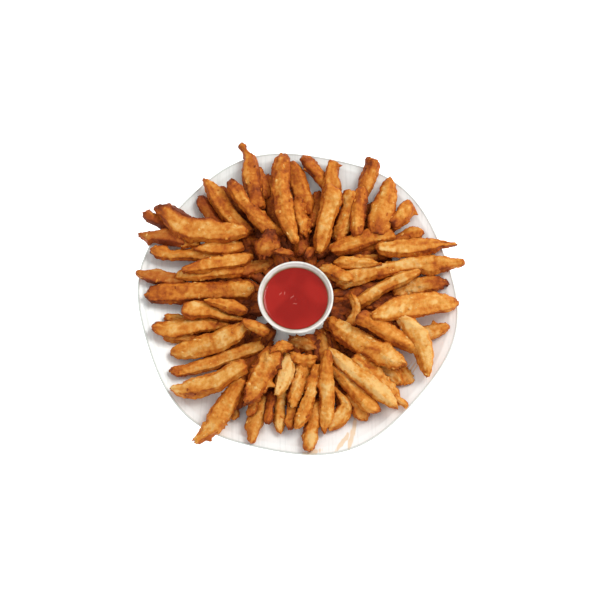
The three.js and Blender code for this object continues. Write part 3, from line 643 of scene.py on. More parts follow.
topFries = [
    fry((-59, 109), (-16, 58), 13, brown=0.45, tipBrown=0.3,
        edges=[(-0.02, 4, 3.5), (0.04, 4.5, 6), (0.13, 6, 7), (0.25, 3.5, 8), (0.41, 2, 9),
               (0.59, 3.5, 10.5), (0.8, 5, 9), (1, 5.5, 5)],
        marks=[(0.6, 0, 14, 4, -0.35), (0.62, 0.9, 3, 2, -0.7), (0.12, 0.3, 8, 4, 0.3)],
        lumps=[(0.62, 20, 2.2, 2), (0.5, 25, 1.8, 1.5)]),
    fry((-13, 136), (1, 53), 16, tipWide=0.9, rootWide=0.3, rootRun=0.35, brown=-0.05, tipBrown=0.3,
        edges=[(-0.01, 3.5, 3), (0.05, 6.5, 8), (0.14, 5.5, 11.5), (0.27, 3, 13), (0.42, 1, 14),
               (0.6, 1.5, 14.5), (0.8, 0.5, 12.5), (1, 0.5, 6)],
        marks=[(0.45, -0.85, 26, 2.5, 0.75), (0.22, -0.6, 4, 2, 0.5), (0.06, -0.1, 2, 1.5, -0.8)],
        lumps=[(0.05, 120, 2.5, 1.5), (0.1, 60, 2, 1.2)]),
    fry((34, 104), (19, 43), 17, rootWide=0.4, rootRun=0.35, brown=-0.35,
        edges=[(0, 6.5, 10), (0.15, 8.5, 9.5), (0.42, 7, 8.5), (0.6, 6.5, 8.5), (0.8, 7, 7.5), (1, 4, 3)],
        marks=[(0.27, 0.5, 5, 2, 0.4), (0.85, -0.3, 4, 3, 0.4)]),
    fry((84, 61), (29, 46), 15, tipWide=0.85, rootWide=0.5, rootRun=0.35, marks=[(0.5, 0.9, 20, 2, 0.5)],
        solid=fry((82, 60), (30, 46), 12)),
    fry((58, 102), (54, 60), 12, brown=0.7,
        edges=[(-0.01, 5, 5.5), (0.16, 6, 6.5), (0.42, 5.5, 8), (0.8, 5, 8), (1.05, 4, 6.5)],
        marks=[(0.5, 0.9, 18, 1.6, 0.6), (0.85, -0.2, 6, 4, -0.8)],
        solid=fry((58, 102), (54, 60), 12, rootWide=0.9)),
    fry((84, 114), (75, 64), 20, thick=10, lift=(0, -10), brown=-0.15,
        edges=[(-0.01, 0.5, 1.5), (0.05, 3.5, 4), (0.14, 6, 6), (0.26, 8, 8), (0.41, 9, 10),
               (0.59, 10, 12), (0.8, 8.5, 13), (0.95, 6, 12.5), (1.1, 2, 9)],
        marks=[(0.35, -0.85, 14, 2, 0.6), (0.35, 0.3, 6, 2, 0.3), (0.95, -0.3, 12, 9, 0.8)],
        solid=fry((84, 114), (75, 64), 20, thick=10, tipWide=0.3, tipRun=0.6)),
    fry((141, 49), (66, 46), 15, tipWide=0.25, tipRun=0.45, rootWide=0.6, brown=-0.15, tipBrown=0.2,
        edges=[(0.02, 1.8, 2), (0.08, 1.8, 2.5), (0.17, 2.5, 4.5), (0.28, 6.5, 6.5), (0.43, 9, 7.5),
               (0.61, 9, 7), (0.8, 8, 6.5), (0.9, 6, 5.5), (0.94, 4, 5)],
        marks=[(0.13, -0.2, 4, 2.5, 1), (0.04, 0, 3, 2, -0.5), (0.3, 0.8, 10, 2, 0.3),
               (0.71, 0.45, 1.5, 3, 0.6)]),
    fry((146, 33), (37, 15), 14, bow=-5, tipWide=0.45, tipRun=0.35, brown=-0.3,
        edges=[(0, 3.5, 3), (0.06, 5, 3.5), (0.15, 8, 5.5), (0.27, 11, 6.5), (0.42, 6, 6), (0.6, 7, 6),
               (0.8, 8, 7.5), (0.97, 7, 7), (1.02, 4, 6)],
        marks=[(0.22, 0, 4, 4, 0.3), (0.18, 0.7, 10, 2, 0.3), (0.45, -0.3, 14, 3, -0.4),
               (0.37, -0.9, 2, 2, 0.8), (0.52, 0.9, 14, 2, 0.6), (0.68, 0.4, 4, 4, 0.55)]),
    fry((76, 33), (33, 33), 12, brown=-0.05, marks=[(0.25, 0.2, 4, 4, 0.5)],
        edges=[(0.04, 3, 0), (0.3, 4.5, 4), (0.6, 6, 5.5), (0.85, 6, 5.5), (1, 3, 2)],
        solid=fry((76, 33), (34, 33), 11)),
    fry((47, 16), (21, 28), 12, tipWide=0.5, brown=-0.15, rough=1, solid=fry((46, 17), (21, 28), 9)),
    fry((108, 25), (51, -6), 12, bow=-2, tipWide=0.4, tipRun=0.35, brown=-0.3,
        solid=fry((115, 23), (51, -6), 9, bow=-2)),
    fry((140, -6), (64, -12), 21, bow=-2, brown=-0.05,
        edges=[(0, 1.5, 4), (0.06, 4.5, 6), (0.15, 7, 8.5), (0.3, 8.5, 10.5), (0.5, 10, 10.5),
               (0.7, 10.5, 9), (0.88, 10, 4), (1, 8, -1)],
        marks=[(0.83, -0.1, 1.3, 1.8, 1), (0.68, 0, 1, 1, 0.6), (0.235, -0.47, 1.2, 1, 0.9),
               (0.3, 0.8, 14, 3, 0.25)],
        solid=fry((140, -6), (64, -12), 21, bow=-2, tipWide=0.5, rootWide=0.55, tipRun=0.35, rootRun=0.3)),
    fry((104, -46.5), (53, -16), 14, tipWide=0.85, rootWide=0.85, tipRun=0.1, rootRun=0.1, lift=(-6, 0),
        brown=0.2, tipBrown=-0.5,
        marks=[(0.95, 0, 8, 8, 0.4), (0.4, -0.3, 12, 2.5, -0.4), (0.4, 0.9, 24, 1.5, 0.4)],
        solid=fry((106, -47), (54, -17), 12)),
    fry((92, -60), (26, -19), 19, tipWide=0.5, rootWide=0.5, rootRun=0.35, brown=0, wrinkle=0.5,
        rough=1.2,
        edges=[(0, 1.5, 3), (0.06, 6, 5), (0.15, 9, 6), (0.27, 11, 9), (0.42, 12, 6), (0.6, 13, 6.5),
               (0.8, 11.5, 5.5), (0.92, 7.5, 4), (1.03, 1.5, 1.5)],
        marks=[(0.35, -0.95, 10, 2, 0.6), (0.7, 0.85, 16, 3, 0.55), (0.2, 0.2, 6, 4, -0.3),
               (0.55, -0.2, 10, 4, -0.2), (0.98, 0, 12, 9, 0.4)],
        lumps=[(0.15, 60, 4, 1.5), (0.4, 110, 5, 1.5), (0.27, 170, 3, 2)]),
    fry((93, -95), (50, -52), 12, rough=1.4,
        edges=[(-0.01, 4, 1), (0.14, 6, 1), (0.27, 6.5, 4.5), (0.6, 6.5, 6), (1, 5.5, 5)],
        marks=[(0.75, -0.1, 6, 3, 0.8), (0.55, 0.2, 5, 2, 0.6), (0.2, 0.2, 6, 2, -0.5),
               (0.85, 0.7, 4, 1.5, -0.5)]),
    fry((86, -98), (29, -48), 15, brown=-0.6, rough=0.3, wrinkle=0.1,
        edges=[(0.01, 2, 0), (0.1, 5.5, 4), (0.25, 8, 6.5), (0.5, 8.5, 6.5), (0.8, 8.5, 5),
               (0.95, 6.5, 4), (1.04, 3, 2)], marks=[(0.5, 1, 40, 2.6, 0.9), (0.04, 0.3, 6, 5, 0.4)],
        solid=fry((86, -98), (29, -48), 13, roll=30)),
    fry((23, -119), (25, -60), 12, brown=-0.05,
        edges=[(-0.02, 1.5, 0), (0.04, 4, 1.5), (0.13, 5.5, 5.5), (0.25, 6, 7), (0.41, 6, 7.5),
               (0.59, 6.5, 6.5), (1, 5.5, 5), (1.2, 3, 3.5)],
        marks=[(1.1, 0, 7, 6, 0.6), (0.4, 0.95, 25, 2.2, 0.8), (0.15, -0.9, 10, 1.5, 0.5)],
        lumps=[(0.68, 10, 1.6, 3)], solid=fry((23, -119), (25, -60), 11, roll=-28, tipWide=0.4)),
    fry((-17, -88), (-5, -52), 15, brown=-0.75,
        edges=[(0.03, 4, 1.5), (0.17, 5.5, 4), (0.29, 6.5, 6), (0.6, 8, 6), (1, 8, 5)],
        marks=[(0.2, 0, 0.8, 0.8, 1), (0.5, 0.95, 14, 1.5, 0.4), (0.1, -0.7, 4, 2, 0.3)]),
    fry((-44, -94), (-20, -47), 20, brown=0.8, red=0.1, wrinkle=1.8, rough=1.7,
        edges=[(-0.03, 2, 2), (0.08, 4, 5), (0.25, 7.5, 8), (0.5, 9, 10), (0.8, 10.5, 11), (1, 7, 7)],
        marks=[(0.8, 0.1, 6, 5, -0.5), (0.25, 0.2, 6, 4, -0.35), (0.55, -0.2, 8, 5, 0.3),
               (0.47, -0.95, 4, 1.5, -0.7)],
        lumps=[(0.47, 178, 2, 5), (0.8, 80, 3, 1.2), (0.2, 150, 3, 1.5)],
        solid=fry((-44, -94), (-20, -47), 20, tipWide=0.5)),
    fry((-22, -47), (-5, -44), 8, brown=0.3, rough=2, tipWide=0.5, rootWide=0.5, bow=2,
        solid=fry((-22, -47), (-5, -44), 8)),
    fry((-8, -52), (15, -55), 9, brown=0.3, rough=2, tipWide=0.5, rootWide=0.6, bow=-2, lift=(-5, -5),
        lumps=[(0.3, 60, 3, 1.5), (0.7, 100, 2, -2), (0.55, 200, 2.5, 3)],
        solid=fry((-8, -53), (16, -55), 8)),
    fry((-107, -49), (-44, -26), 18, tipWide=0.45, tipRun=0.3, brown=0.05,
        edges=[(-0.03, 2.5, 1), (0.03, 4.5, 6), (0.13, 6, 8.5), (0.25, 5.5, 10.5), (0.4, 7.5, 12),
               (0.59, 5.5, 13), (0.79, 6, 10), (1, 6, 3.5)],
        marks=[(0.52, 0, 1.5, 9, 0.6), (0.3, 0.2, 8, 4, -0.35), (0.72, 0.2, 8, 5, -0.3)]),
    fry((-47, -20), (-25, -32), 9, brown=0.35, tipWide=0.5, solid=fry((-47, -20), (-25, -32), 9)),
    fry((-81, -1.5), (-45, -10), 12, brown=0.15, rough=0.2,
        edges=[(0, 1, 1), (0.15, 3, 2.5), (0.4, 4.5, 4), (0.7, 6, 6.5), (0.93, 3.5, 6.5), (1.03, 1, 3.5)],
        marks=[(0.9, -0.5, 5, 3, 0.6)], solid=fry((-80, -3), (-44, -12), 12)),
    fry((-26, 66), (-28, 39), 17, brown=0.8, red=0.3, rough=1.5,
        edges=[(0.1, 8, 3), (0.3, 10, 5), (0.55, 11.5, 8), (0.7, 12, 9.5), (0.85, 8, 9), (1.03, 3, 6)],
        marks=[(0.8, -0.3, 5, 3, -0.6), (0.5, -0.6, 5, 2, -0.5), (0.2, 0, 5, 9, 0.6)]),
    fry((-20, 44), (-4, 42), 6, brown=0.75, red=0.4, rough=1.5, tipWide=0.5, rootWide=0.5,
        solid=fry((-20, 44), (-4, 42), 7)),
    fry((-101, 27), (-40, 38), 13, tipWide=0.4, tipRun=0.35, rootWide=0.6, brown=0.05,
        marks=[(0.15, 0.9, 14, 2, 0.9)], solid=fry((-99, 29), (-40, 38), 12)),
    fry((-91, 46.5), (-48, 49), 13, tipWide=0.2, tipRun=0.45, rootWide=0.6, brown=-0.05,
        marks=[(0.12, 0.8, 8, 3, 1)], solid=fry((-90, 49), (-48, 51), 10)),
    fry((-133, 4), (-39, 9), 17, brown=0.85, tipBrown=0.1,
        edges=[(0, 1.5, 2.5), (0.06, 7.5, 7), (0.15, 8.5, 8), (0.42, 8.5, 9), (0.94, 8.5, 9), (1, 6, 6)],
        marks=[(0.93, 0, 13, 7, -0.8), (0.15, 0, 12, 6, 0.15), (0.42, -0.3, 3, 2, -0.5),
               (0.45, -0.95, 12, 2, 0.5), (0.5, 0.6, 8, 2, -0.3)],
        solid=fry((-133, 4), (-39, 9), 17, tipWide=0.8)),
    fry((-120, 82), (-45, 63), 20, bow=-8, tipWide=0.55, brown=-0.1, red=0.1,
        edges=[(-0.09, 1, 3.5), (-0.03, 5.5, 5.5), (0.07, 10, 9), (0.2, 11, 14.5), (0.37, 10, 14.5),
               (0.56, 9.5, 10.5), (0.75, 8, 9), (0.93, 5.5, 6.5), (1, 2, 5)],
        marks=[(0, 0.8, 10, 4, 1.3), (0.2, 0.88, 14, 3.2, 2.4), (0.42, 0.95, 12, 2.4, 1.6),
               (-0.05, 0, 6, 6, 0.9), (0.7, -0.3, 6, 3, 0.25), (0.25, -0.9, 14, 2, 0.5),
               (0.4, 0.1, 16, 4, -0.3)], lumps=[(0.55, 30, 2.2, 4)]),
]

# The dark ends are browned darker than any lit fry: painted shade in the gaps, over their own dark crust
scraps = [  # a thin pale flake, a short end and dark ends low in gaps, too small for the solids
    fry((95, -76), (87, -62), 11, thick=2.5, tipWide=1, rough=2, brown=-0.15),
    fry((14, -114), (12, -98), 7),
    fry((67, 88), (60, 66), 10, brown=1.2),
    fry((-20, 92), (-14, 70), 9, brown=1),
    fry((37, -103), (37, -80), 9, brown=1.8),
    fry((-12, -56), (-11, -42), 9, brown=1.5),
    fry((-10, 44), (-9, 30), 7, brown=1.6),
    fry((46, -2), (31, -3), 8, brown=1.8),
    fry((-96, -31), (-84, -35), 8, brown=1.6),
    fry((-44, -26), (-38, -34), 7, brown=1.4),
    fry((-52, 82), (-42, 68), 8, brown=2),
    fry((-104, 51), (-86, 54), 9, brown=0.2, rough=2, lift=(9, 9)),
]

# ---- How the fries lie ----
# The same rule as in the solids: each slides down its line of sight onto the plate and the heap.
rest = dict(feelers=48, stations=14, gap=0.9, nestle=3.5, underside=0.7, settlings=8, share=0.5,
            steepest=0.22, cell=2, reach=160, bare=-50)
core = dict(inner=40, outer=101, crown=[(46, 13), (56, 16), (72, 16), (86, 14.5), (96, 13)])


def onSight(seen, height):
    return seen + (eyeOnPlan - seen) * (height - view['level']) / (eyeHeight - view['level'])


def seenAt(fry, along):
    return lerp(fry.tip, fry.root, along) + fry.side * fry.bow * math.sin(math.pi * along)


def heightAt(fry, along):
    return lerp(fry.tipHeight, fry.rootHeight, along)


def narrowing(fry, along):
    if along < fry.tipRun:
        return lerp(fry.tipWide, 1, math.sin(math.pi / 2 * along / fry.tipRun))
    if along > 1 - fry.rootRun:
        return lerp(fry.rootWide, 1, math.sin(math.pi / 2 * (1 - along) / fry.rootRun))
    return 1


def unevenness(fry, along, angle):
    wave = math.sin(7 * along + 2.4 * fry.number) + math.sin(11 * along + 1.7 * fry.number + angle)
    return 1 + fryForm['wobble'] * wave


def signedPower(value):
    return math.copysign(abs(value) ** fryForm['squareness'], value)


def sectionPoint(fry, along, angle):
    narrow = narrowing(fry, along)
    grow = unevenness(fry, along, angle)
    sideways = fry.wide / 2 * narrow * grow * signedPower(math.cos(angle))
    upwards = fry.thick / 2 * lerp(fryForm['endThick'], 1, narrow) * grow * signedPower(math.sin(angle))
    turned = complex(sideways, upwards) * turnBy(fry.roll)
    return turned.real, turned.imag


feelerAngles = [2 * math.pi * i / rest['feelers'] for i in range(rest['feelers'])]


def floorUnder(place):
    radius = abs(place) / lobeFactor(math.atan2(place.imag, place.real), abs(place))
    return rest['bare'] if radius > plate['rimRadius'] else plateTop(radius)


def crownHeight(place):
    radius = abs(place)
    if radius < core['inner'] or radius > core['outer']:
        return rest['bare']
    corners = [(core['inner'], plate['floorHeight']), *core['crown'],
               (core['outer'], plateTop(core['outer']))]
    for (fromRadius, fromHeight), (toRadius, toHeight) in zip(corners, corners[1:]):
        if radius <= toRadius:
            return lerp(fromHeight, toHeight, (radius - fromRadius) / (toRadius - fromRadius))


def cellOf(place):
    return (math.floor((place.real + rest['reach']) / rest['cell'] + 0.5),
            math.floor((place.imag + rest['reach']) / rest['cell'] + 0.5))


def newHeap():
    cells = range(-rest['reach'], rest['reach'] + 1, rest['cell'])
    return {cellOf(complex(x, y)): crownHeight(complex(x, y)) for x in cells for y in cells}


def heightNeeded(fry, along, heap):
    middle = onSight(seenAt(fry, along), heightAt(fry, along))
    needed = rest['bare']
    for angle in feelerAngles:
        sideways, upwards = sectionPoint(fry, along, angle)
        if upwards > 0:
            continue
        place = middle + fry.side * sideways
        needed = max(needed, floorUnder(place) + rest['gap'] - upwards)
        if abs(math.cos(angle)) < rest['underside']:
            needed = max(needed, heap.get(cellOf(place), rest['bare']) - rest['nestle'] - upwards)
    return needed


def feelAlong(fry, heap):
    shares = [i / rest['stations'] for i in range(rest['stations'] + 1)]
    return [(along, heightNeeded(fry, along, heap)) for along in shares]


def slopeOver(felt):
    highest, slope = rest['bare'], 0
    for outer, outerHeight in felt:
        for inner, innerHeight in felt:
            if outer > 0.5 or inner <= 0.5:
                continue
            pairSlope = (innerHeight - outerHeight) / (inner - outer)
            middle = outerHeight + pairSlope * (0.5 - outer)
            if middle > highest:
                highest, slope = middle, pairSlope
    return slope


def settle(fry, heap):
    felt = feelAlong(fry, heap)
    limit = rest['steepest'] * fry.length
    slope = clamp(slopeOver(felt), -limit, limit)
    middle = max(height - slope * (along - 0.5) for along, height in felt)
    fry.tipHeight = lerp(fry.tipHeight, middle - slope / 2, rest['share'])
    fry.rootHeight = lerp(fry.rootHeight, middle + slope / 2, rest['share'])


def liftOffPlate(fry):
    lift = max(0, *[height - heightAt(fry, along) for along, height in feelAlong(fry, {})])
    fry.tipHeight += lift
    fry.rootHeight += lift


def raiseHeap(fry, heap):
    for along in spaced(0, 1, 4 * rest['stations']):
        middle = onSight(seenAt(fry, along), heightAt(fry, along))
        for angle in feelerAngles:
            sideways, upwards = sectionPoint(fry, along, angle)
            if upwards < 0:
                continue
            cell = cellOf(middle + fry.side * sideways)
            heap[cell] = max(heap.get(cell, rest['bare']), heightAt(fry, along) + upwards)


def restAll(fries, heap):
    for one in fries:
        bar = one.solid or one
        bar.number = one.number
        bar.tipHeight = bar.rootHeight = view['level']
        for _ in range(rest['settlings']):
            settle(bar, heap)
        liftOffPlate(bar)
        raiseHeap(bar, heap)
        one.tipHeight, one.rootHeight = bar.tipHeight, bar.rootHeight
        liftOffPlate(one)


allFries = bottomFries + middleFries + topFries
for number, one in enumerate(allFries + scraps):
    one.number = number
restAll(allFries, newHeap())
restAll(scraps, {})
for one in allFries + scraps:
    one.tipHeight += one.lift[0]
    one.rootHeight += one.lift[1]
print('fries settled')

# ---- Shape of a fry ----
# Sizes are in millimetres. batter shapes the crust, and toast is how much browner each cause makes it; the
# flanks, the hollows of the relief and the far side of the plate are browned as painted shade.
batter = dict(
    stepAlong=1.15, cutsAcross=11, fewestAlong=6, endRound=0.45, endBulge=0.2, endFlat=0.8, endKept=0.9,
    slant=0.6, slantRun=5, measuredSlant=0.15, tatter=1.6, tatterSize=2.6, notch=0.75, notchRun=5, nick=0.4,
    nickRun=2, ridged=0.55, faceTone=0.09, sideShade=0.16, cornerDrift=0.24, driftRun=22, lump=12,
    lumpHeight=0.8, bump=4.2, bumpHeight=0.36, grain=2.1, grainHeight=0.2, crease=2.6, creaseRun=15,
    creaseHeight=0.5, creaseSharp=1.6, creaseFrom=0.35, wander=1.0, wanderRun=24, crumb=2.4, crumbFrom=0.34,
    crumbHeight=4, markDent=0.5, swell=1.09, softened=0.15)
toast = dict(
    base=0.28, brown=0.3, ends=0.18, endRun=3, blotch=0.26, blotchSize=13, bumps=-0.2, grain=-0.14,
    crease=-0.08, flankShade=0.2, mark=0.45, streak=0.08, streakRun=18, streakSize=2.4, ridge=0.08,
    ridgeWidth=0.16, tip=0.4, tipRun=8, backShade=0.13, backShadeRun=110, red=0.6, redEnds=0.3, redMark=0.04)


def cutCorners(dice):
    # The knife leaves flat faces. These are the corners between them, as shares of the half width
    # and half thickness, anticlockwise from the left; the top is one tilted face or a ridge of two.
    if dice.random() < batter['ridged']:
        crown = [(dice.uniform(-0.9, -0.75), dice.uniform(0.3, 0.6)), (dice.uniform(-0.45, 0.45), 1),
                 (dice.uniform(0.75, 0.9), dice.uniform(0.3, 0.6))]
    else:
        tilt = dice.uniform(-0.35, 0.35)
        crown = [(dice.uniform(-0.85, -0.6), 0.92 - max(0, tilt)), (dice.uniform(-0.1, 0.1), 0.98),
                 (dice.uniform(0.6, 0.85), 0.92 + min(0, tilt))]
    return [(-1, dice.uniform(-0.35, 0.1)), *crown, (1, dice.uniform(-0.35, 0.1)),
            (dice.uniform(0.4, 0.7), -1), (dice.uniform(-0.7, -0.4), -1)]


def faceTones(dice):
    # How much browner each of those faces is, in the same order, starting left of the top: the sides
    # and underside by a random amount of painted shade, the top faces by a random tone
    darker = [dice.uniform(0, batter['sideShade']) for _ in range(5)]
    top = [dice.uniform(-batter['faceTone'], batter['faceTone']) for _ in range(2)]
    return [darker[0], *top, *darker[1:]]


def drifted(fry, corners, along):
    moved = []
    for index, (x, y) in enumerate(corners):
        seed = Vector((along * fry.length / batter['driftRun'], fry.number * 3.1, index * 7.7))
        drift = noise.noise_vector(seed)
        shift = 0 if abs(x) == 1 else batter['cornerDrift'] * drift.x
        moved.append(complex(x + shift, y + batter['cornerDrift'] * drift.y))
    return moved


def cross(a, b):
    return (a.conjugate() * b).imag


def reachTo(corners, ray):
    # How far along the ray the section's outline is, and which of its faces that is
    for face, (start, end) in enumerate(zip(corners, corners[1:] + corners[:1])):
        across = cross(ray, end - start)
        if abs(across) < 1e-6:
            continue
        reach = cross(start, end - start) / across
        share = cross(start, ray) / across
        if reach > 0 and -1e-6 <= share <= 1 + 1e-6:
            return reach, face
    return 1, 0


def endsOf(fry):
    return (fry.edges[0][0], fry.edges[-1][0]) if fry.edges else (0, 1)


def edgesAt(fry, along):
    if not fry.edges:
        half = fry.wide / 2 * narrowing(fry, clamp(along))
        return half, half
    for (low, lowLeft, lowRight), (high, highLeft, highRight) in zip(fry.edges, fry.edges[1:]):
        if along <= high:
            break
    share = clamp((along - low) / (high - low))
    share = share * share * (3 - 2 * share)
    return lerp(lowLeft, highLeft, share), lerp(lowRight, highRight, share)


def raggedness(fry, along, side):
    # How far the batter stands out of or is missing from this side's edge, in millimetres
    rows = Vector((along * fry.length, 40 if side > 0 else 0, fry.number * 23.3))
    return (batter['notch'] * noise.noise(rows / batter['notchRun'])
            + batter['nick'] * noise.noise(rows / batter['nickRun']))


def relief(fry, place):
    # place runs along, across and up through the fry in millimetres, so the crust stays with it
    seed = Vector((fry.number * 31.7, fry.number * 17.3, 0))
    height = batter['lumpHeight'] * noise.noise((place + seed) / batter['lump'])
    bumps = noise.noise((place + seed) / batter['bump'])
    grain = noise.noise((place + seed) / batter['grain'])
    drawn = Vector((place.x / batter['creaseRun'], place.y / batter['crease'], place.z / batter['crease']))
    crease = batter['creaseFrom'] - abs(noise.noise(drawn + seed)) * batter['creaseSharp']
    crumb = max(0, noise.noise((place - seed) / batter['crumb']) - batter['crumbFrom'])
    height += batter['bumpHeight'] * bumps * (0.5 + fry.rough) + batter['grainHeight'] * grain
    height += fry.wrinkle * batter['creaseHeight'] * crease + batter['crumbHeight'] * crumb * fry.rough
    return height, bumps, grain, crease


def markTone(fry, along, share):
    tone = 0
    for place, across, run, size, strength in fry.marks:
        fromMark = ((along - place) * fry.length / run) ** 2 + ((share - across) * fry.wide / 2 / size) ** 2
        tone += strength * math.exp(-fromMark)
    return tone


def knobsOf(fry):
    # Its lumps, each as the middle, the way it stands out, its size and its height
    knobs = []
    for along, degrees, size, height in fry.lumps:
        left, right = edgesAt(fry, along)
        way = turnBy(degrees)
        aside = fry.side * ((left - right) / 2 + (left + right) / 2 * way.real)
        middle = onSight(seenAt(fry, along), heightAt(fry, along))
        centre = Vector((middle.real, middle.imag, heightAt(fry, along)))
        centre += Vector((aside.real, aside.imag, fry.thick / 2 * way.imag))
        flat = fry.side * way.real
        knobs.append((centre, Vector((flat.real, flat.imag, way.imag)), size, height))
    return knobs


def fryBlock(fry, stepAlong, cutsAcross):
    bm = bmesh.new()
    bmesh.ops.create_cube(bm, size=1)
    cutsAlong = max(batter['fewestAlong'], round(fry.length / stepAlong))
    for axis, cuts in enumerate((cutsAlong, cutsAcross, cutsAcross)):
        whole = [edge for edge in bm.edges if abs((edge.verts[0].co - edge.verts[1].co)[axis]) > 0.9]
        bmesh.ops.subdivide_edges(bm, edges=whole, cuts=cuts)
    return bm


def cutToShape(fry, bm, dice):
    # Moves the block's points to the surface of the cut fry. For each it returns the place in the
    # fry, the share of the half width, how far the nearest ridge is and its face's tone.
    corners = cutCorners(dice)
    tones = faceTones(dice)
    steady = batter['measuredSlant'] if fry.edges else 1
    slants = [batter['slant'] * dice.uniform(-1, 1) * steady for _ in range(2)]
    kept = batter['endKept'] if fry.edges else batter['endFlat']
    inwards = (fry.root - fry.tip) / fry.length
    first, last = endsOf(fry)
    cutAt, placed = {}, {}
    for vert in bm.verts:
        along, across, up = lerp(first, last, vert.co.x + 0.5), vert.co.y * 2, vert.co.z * 2
        share = max(abs(across), abs(up))
        fromEnd = min(along - first, last - along) * fry.length
        left, right = edgesAt(fry, along)
        half = (left + right) / 2
        angle = math.atan2(up, across) if share > 1e-4 else 0
        thick = fry.thick / 2 * lerp(fryForm['endThick'], 1, clamp(half / (fry.wide / 2)))
        if vert.co.x not in cutAt:
            cutAt[vert.co.x] = drifted(fry, corners, along)
        ray = complex(math.cos(angle), math.sin(angle))
        reach, face = reachTo(cutAt[vert.co.x], ray)
        reach *= unevenness(fry, clamp(along), angle) * batter['swell']
        ragged = raggedness(fry, along, ray.real) * (0.5 + fry.rough)
        rounding = math.sin(math.pi / 2 * min(1, fromEnd / (batter['endRound'] * fry.thick / 2)))
        sideways = (half * reach + ragged * abs(ray.real)) * ray.real * (share * lerp(kept, 1, rounding))
        upwards = thick * reach * ray.imag * (share * lerp(batter['endFlat'], 1, rounding))
        turned = complex(sideways, upwards) * turnBy(fry.roll)
        bend = batter['wander'] * noise.noise(
            Vector((along * fry.length / batter['wanderRun'], fry.number * 5.3, 0)))
        middle = onSight(seenAt(fry, along), heightAt(fry, along))
        middle += fry.side * ((left - right) / 2 + turned.real + (0 if fry.edges else bend))
        if fromEnd < 0.01 and share < 0.999:
            bulge = batter['endBulge'] * min(thick, half) * (1 - share ** 2)
            middle += inwards * bulge * (-1 if vert.co.x < 0 else 1)
        torn = batter['tatter'] * noise.noise(
            Vector((sideways, upwards, fry.number * 9.1)) / batter['tatterSize'])
        torn = torn * (0.5 + fry.rough) + slants[vert.co.x > 0] * sideways
        middle += inwards * torn * math.exp(-fromEnd / batter['slantRun'])
        fromRidge = min(abs(ray - corner / abs(corner)) for corner in cutAt[vert.co.x][:5])
        place = Vector((along * fry.length, sideways, upwards))
        placed[vert] = place, sideways / max(half, 1), fromRidge, tones[face]
        vert.co = (middle.real, middle.imag, heightAt(fry, along) + turned.imag)
    return placed


def addCrust(fry, bm, placed):
    brownLayer = bm.verts.layers.float['brown']
    redLayer = bm.verts.layers.float['red']
    streakRun, streakSize = toast['streakRun'], toast['streakSize']
    knobs = knobsOf(fry)
    first, last = endsOf(fry)
    seed = Vector((fry.number * 13.1, 0, fry.number * 7.9))
    for vert in bm.verts:
        place, across, fromRidge, faceTone = placed[vert]
        height, bumps, grain, crease = relief(fry, place)
        normal = vert.normal.copy()
        mark = markTone(fry, place.x / fry.length, across) if normal.z > -0.3 else 0
        for centre, out, size, knob in knobs:
            vert.co += out * knob * math.exp(-(vert.co - centre).length_squared / size ** 2)
        vert.co += normal * (height - batter['markDent'] * mark)
        fromTip = place.x - first * fry.length
        ends = math.exp(-min(fromTip, last * fry.length - place.x) / toast['endRun'])
        blotch = noise.noise((place + seed) / toast['blotchSize'])
        # faces turned away from up are browned darker: painted shade on the flanks, with some real browning
        # of the edges
        flankShade = 1 - max(0, normal.z)
        drawn = Vector((place.x / streakRun, place.y / streakSize, place.z / streakSize))
        vert[brownLayer] = clamp(
            toast['base'] + toast['brown'] * fry.brown + toast['ends'] * ends + toast['blotch'] * blotch
            # the relief's hollows are browned darker and its raised bits paler: painted shade in the
            # hollows
            + toast['bumps'] * bumps + toast['grain'] * grain + toast['crease'] * crease
            + toast['flankShade'] * flankShade + toast['mark'] * mark + toast['streak'] * noise.noise(drawn + seed)
            # the fries on the far side of the plate are browned darker and those on the near side paler:
            # painted shade and painted light by place
            + faceTone + toast['backShade'] * vert.co.y / toast['backShadeRun']
            + toast['ridge'] * math.exp(-(fromRidge / toast['ridgeWidth']) ** 2)
            + toast['tip'] * fry.tipBrown * math.exp(-(fromTip / toast['tipRun']) ** 2))
        vert[redLayer] = clamp(toast['red'] * fry.red + toast['redEnds'] * ends * max(0, blotch)
                               + toast['redMark'] * max(0, mark))


def fryShape(fry, dice, stepAlong, cutsAcross):
    bm = fryBlock(fry, stepAlong, cutsAcross)
    bm.verts.layers.float.new('brown')
    bm.verts.layers.float.new('red')
    placed = cutToShape(fry, bm, dice)
    bmesh.ops.smooth_vert(bm, verts=bm.verts, factor=batter['softened'],
                          use_axis_x=True, use_axis_y=True, use_axis_z=True)
    bmesh.ops.recalc_face_normals(bm, faces=bm.faces)
    bm.normal_update()
    addCrust(fry, bm, placed)
    return bm


def addShape(whole, part):
    mesh = bpy.data.meshes.new('part')
    part.to_mesh(mesh)
    part.free()
    whole.from_mesh(mesh)
    bpy.data.meshes.remove(mesh)


crumbs = dict(
    perArea=0.03, smallest=0.5, largest=1.4, long=(0.8, 1.7), wide=(0.6, 1), flat=0.7, lumpy=0.5, sunk=0.2,
    tone=(-0.4, 0.3))


def scatterCrumbs(fry, bm, dice):
    # Bits of batter stuck on the crust, as spots for makeCrumbs: (place, turn, size, brown)
    brownLayer = bm.verts.layers.float['brown']
    top = [vert for vert in bm.verts if vert.normal.z > -0.1]
    spots = []
    for _ in range(round(crumbs['perArea'] * fry.length * fry.wide * (0.3 + fry.rough))):
        vert = dice.choice(top)
        size = lerp(crumbs['smallest'], crumbs['largest'], dice.random() ** 2)
        spots.append((vert.co - vert.normal * crumbs['sunk'] * size, vert.normal.to_track_quat('Z', 'Y'),
                      size, vert[brownLayer] + dice.uniform(*crumbs['tone'])))
    return spots


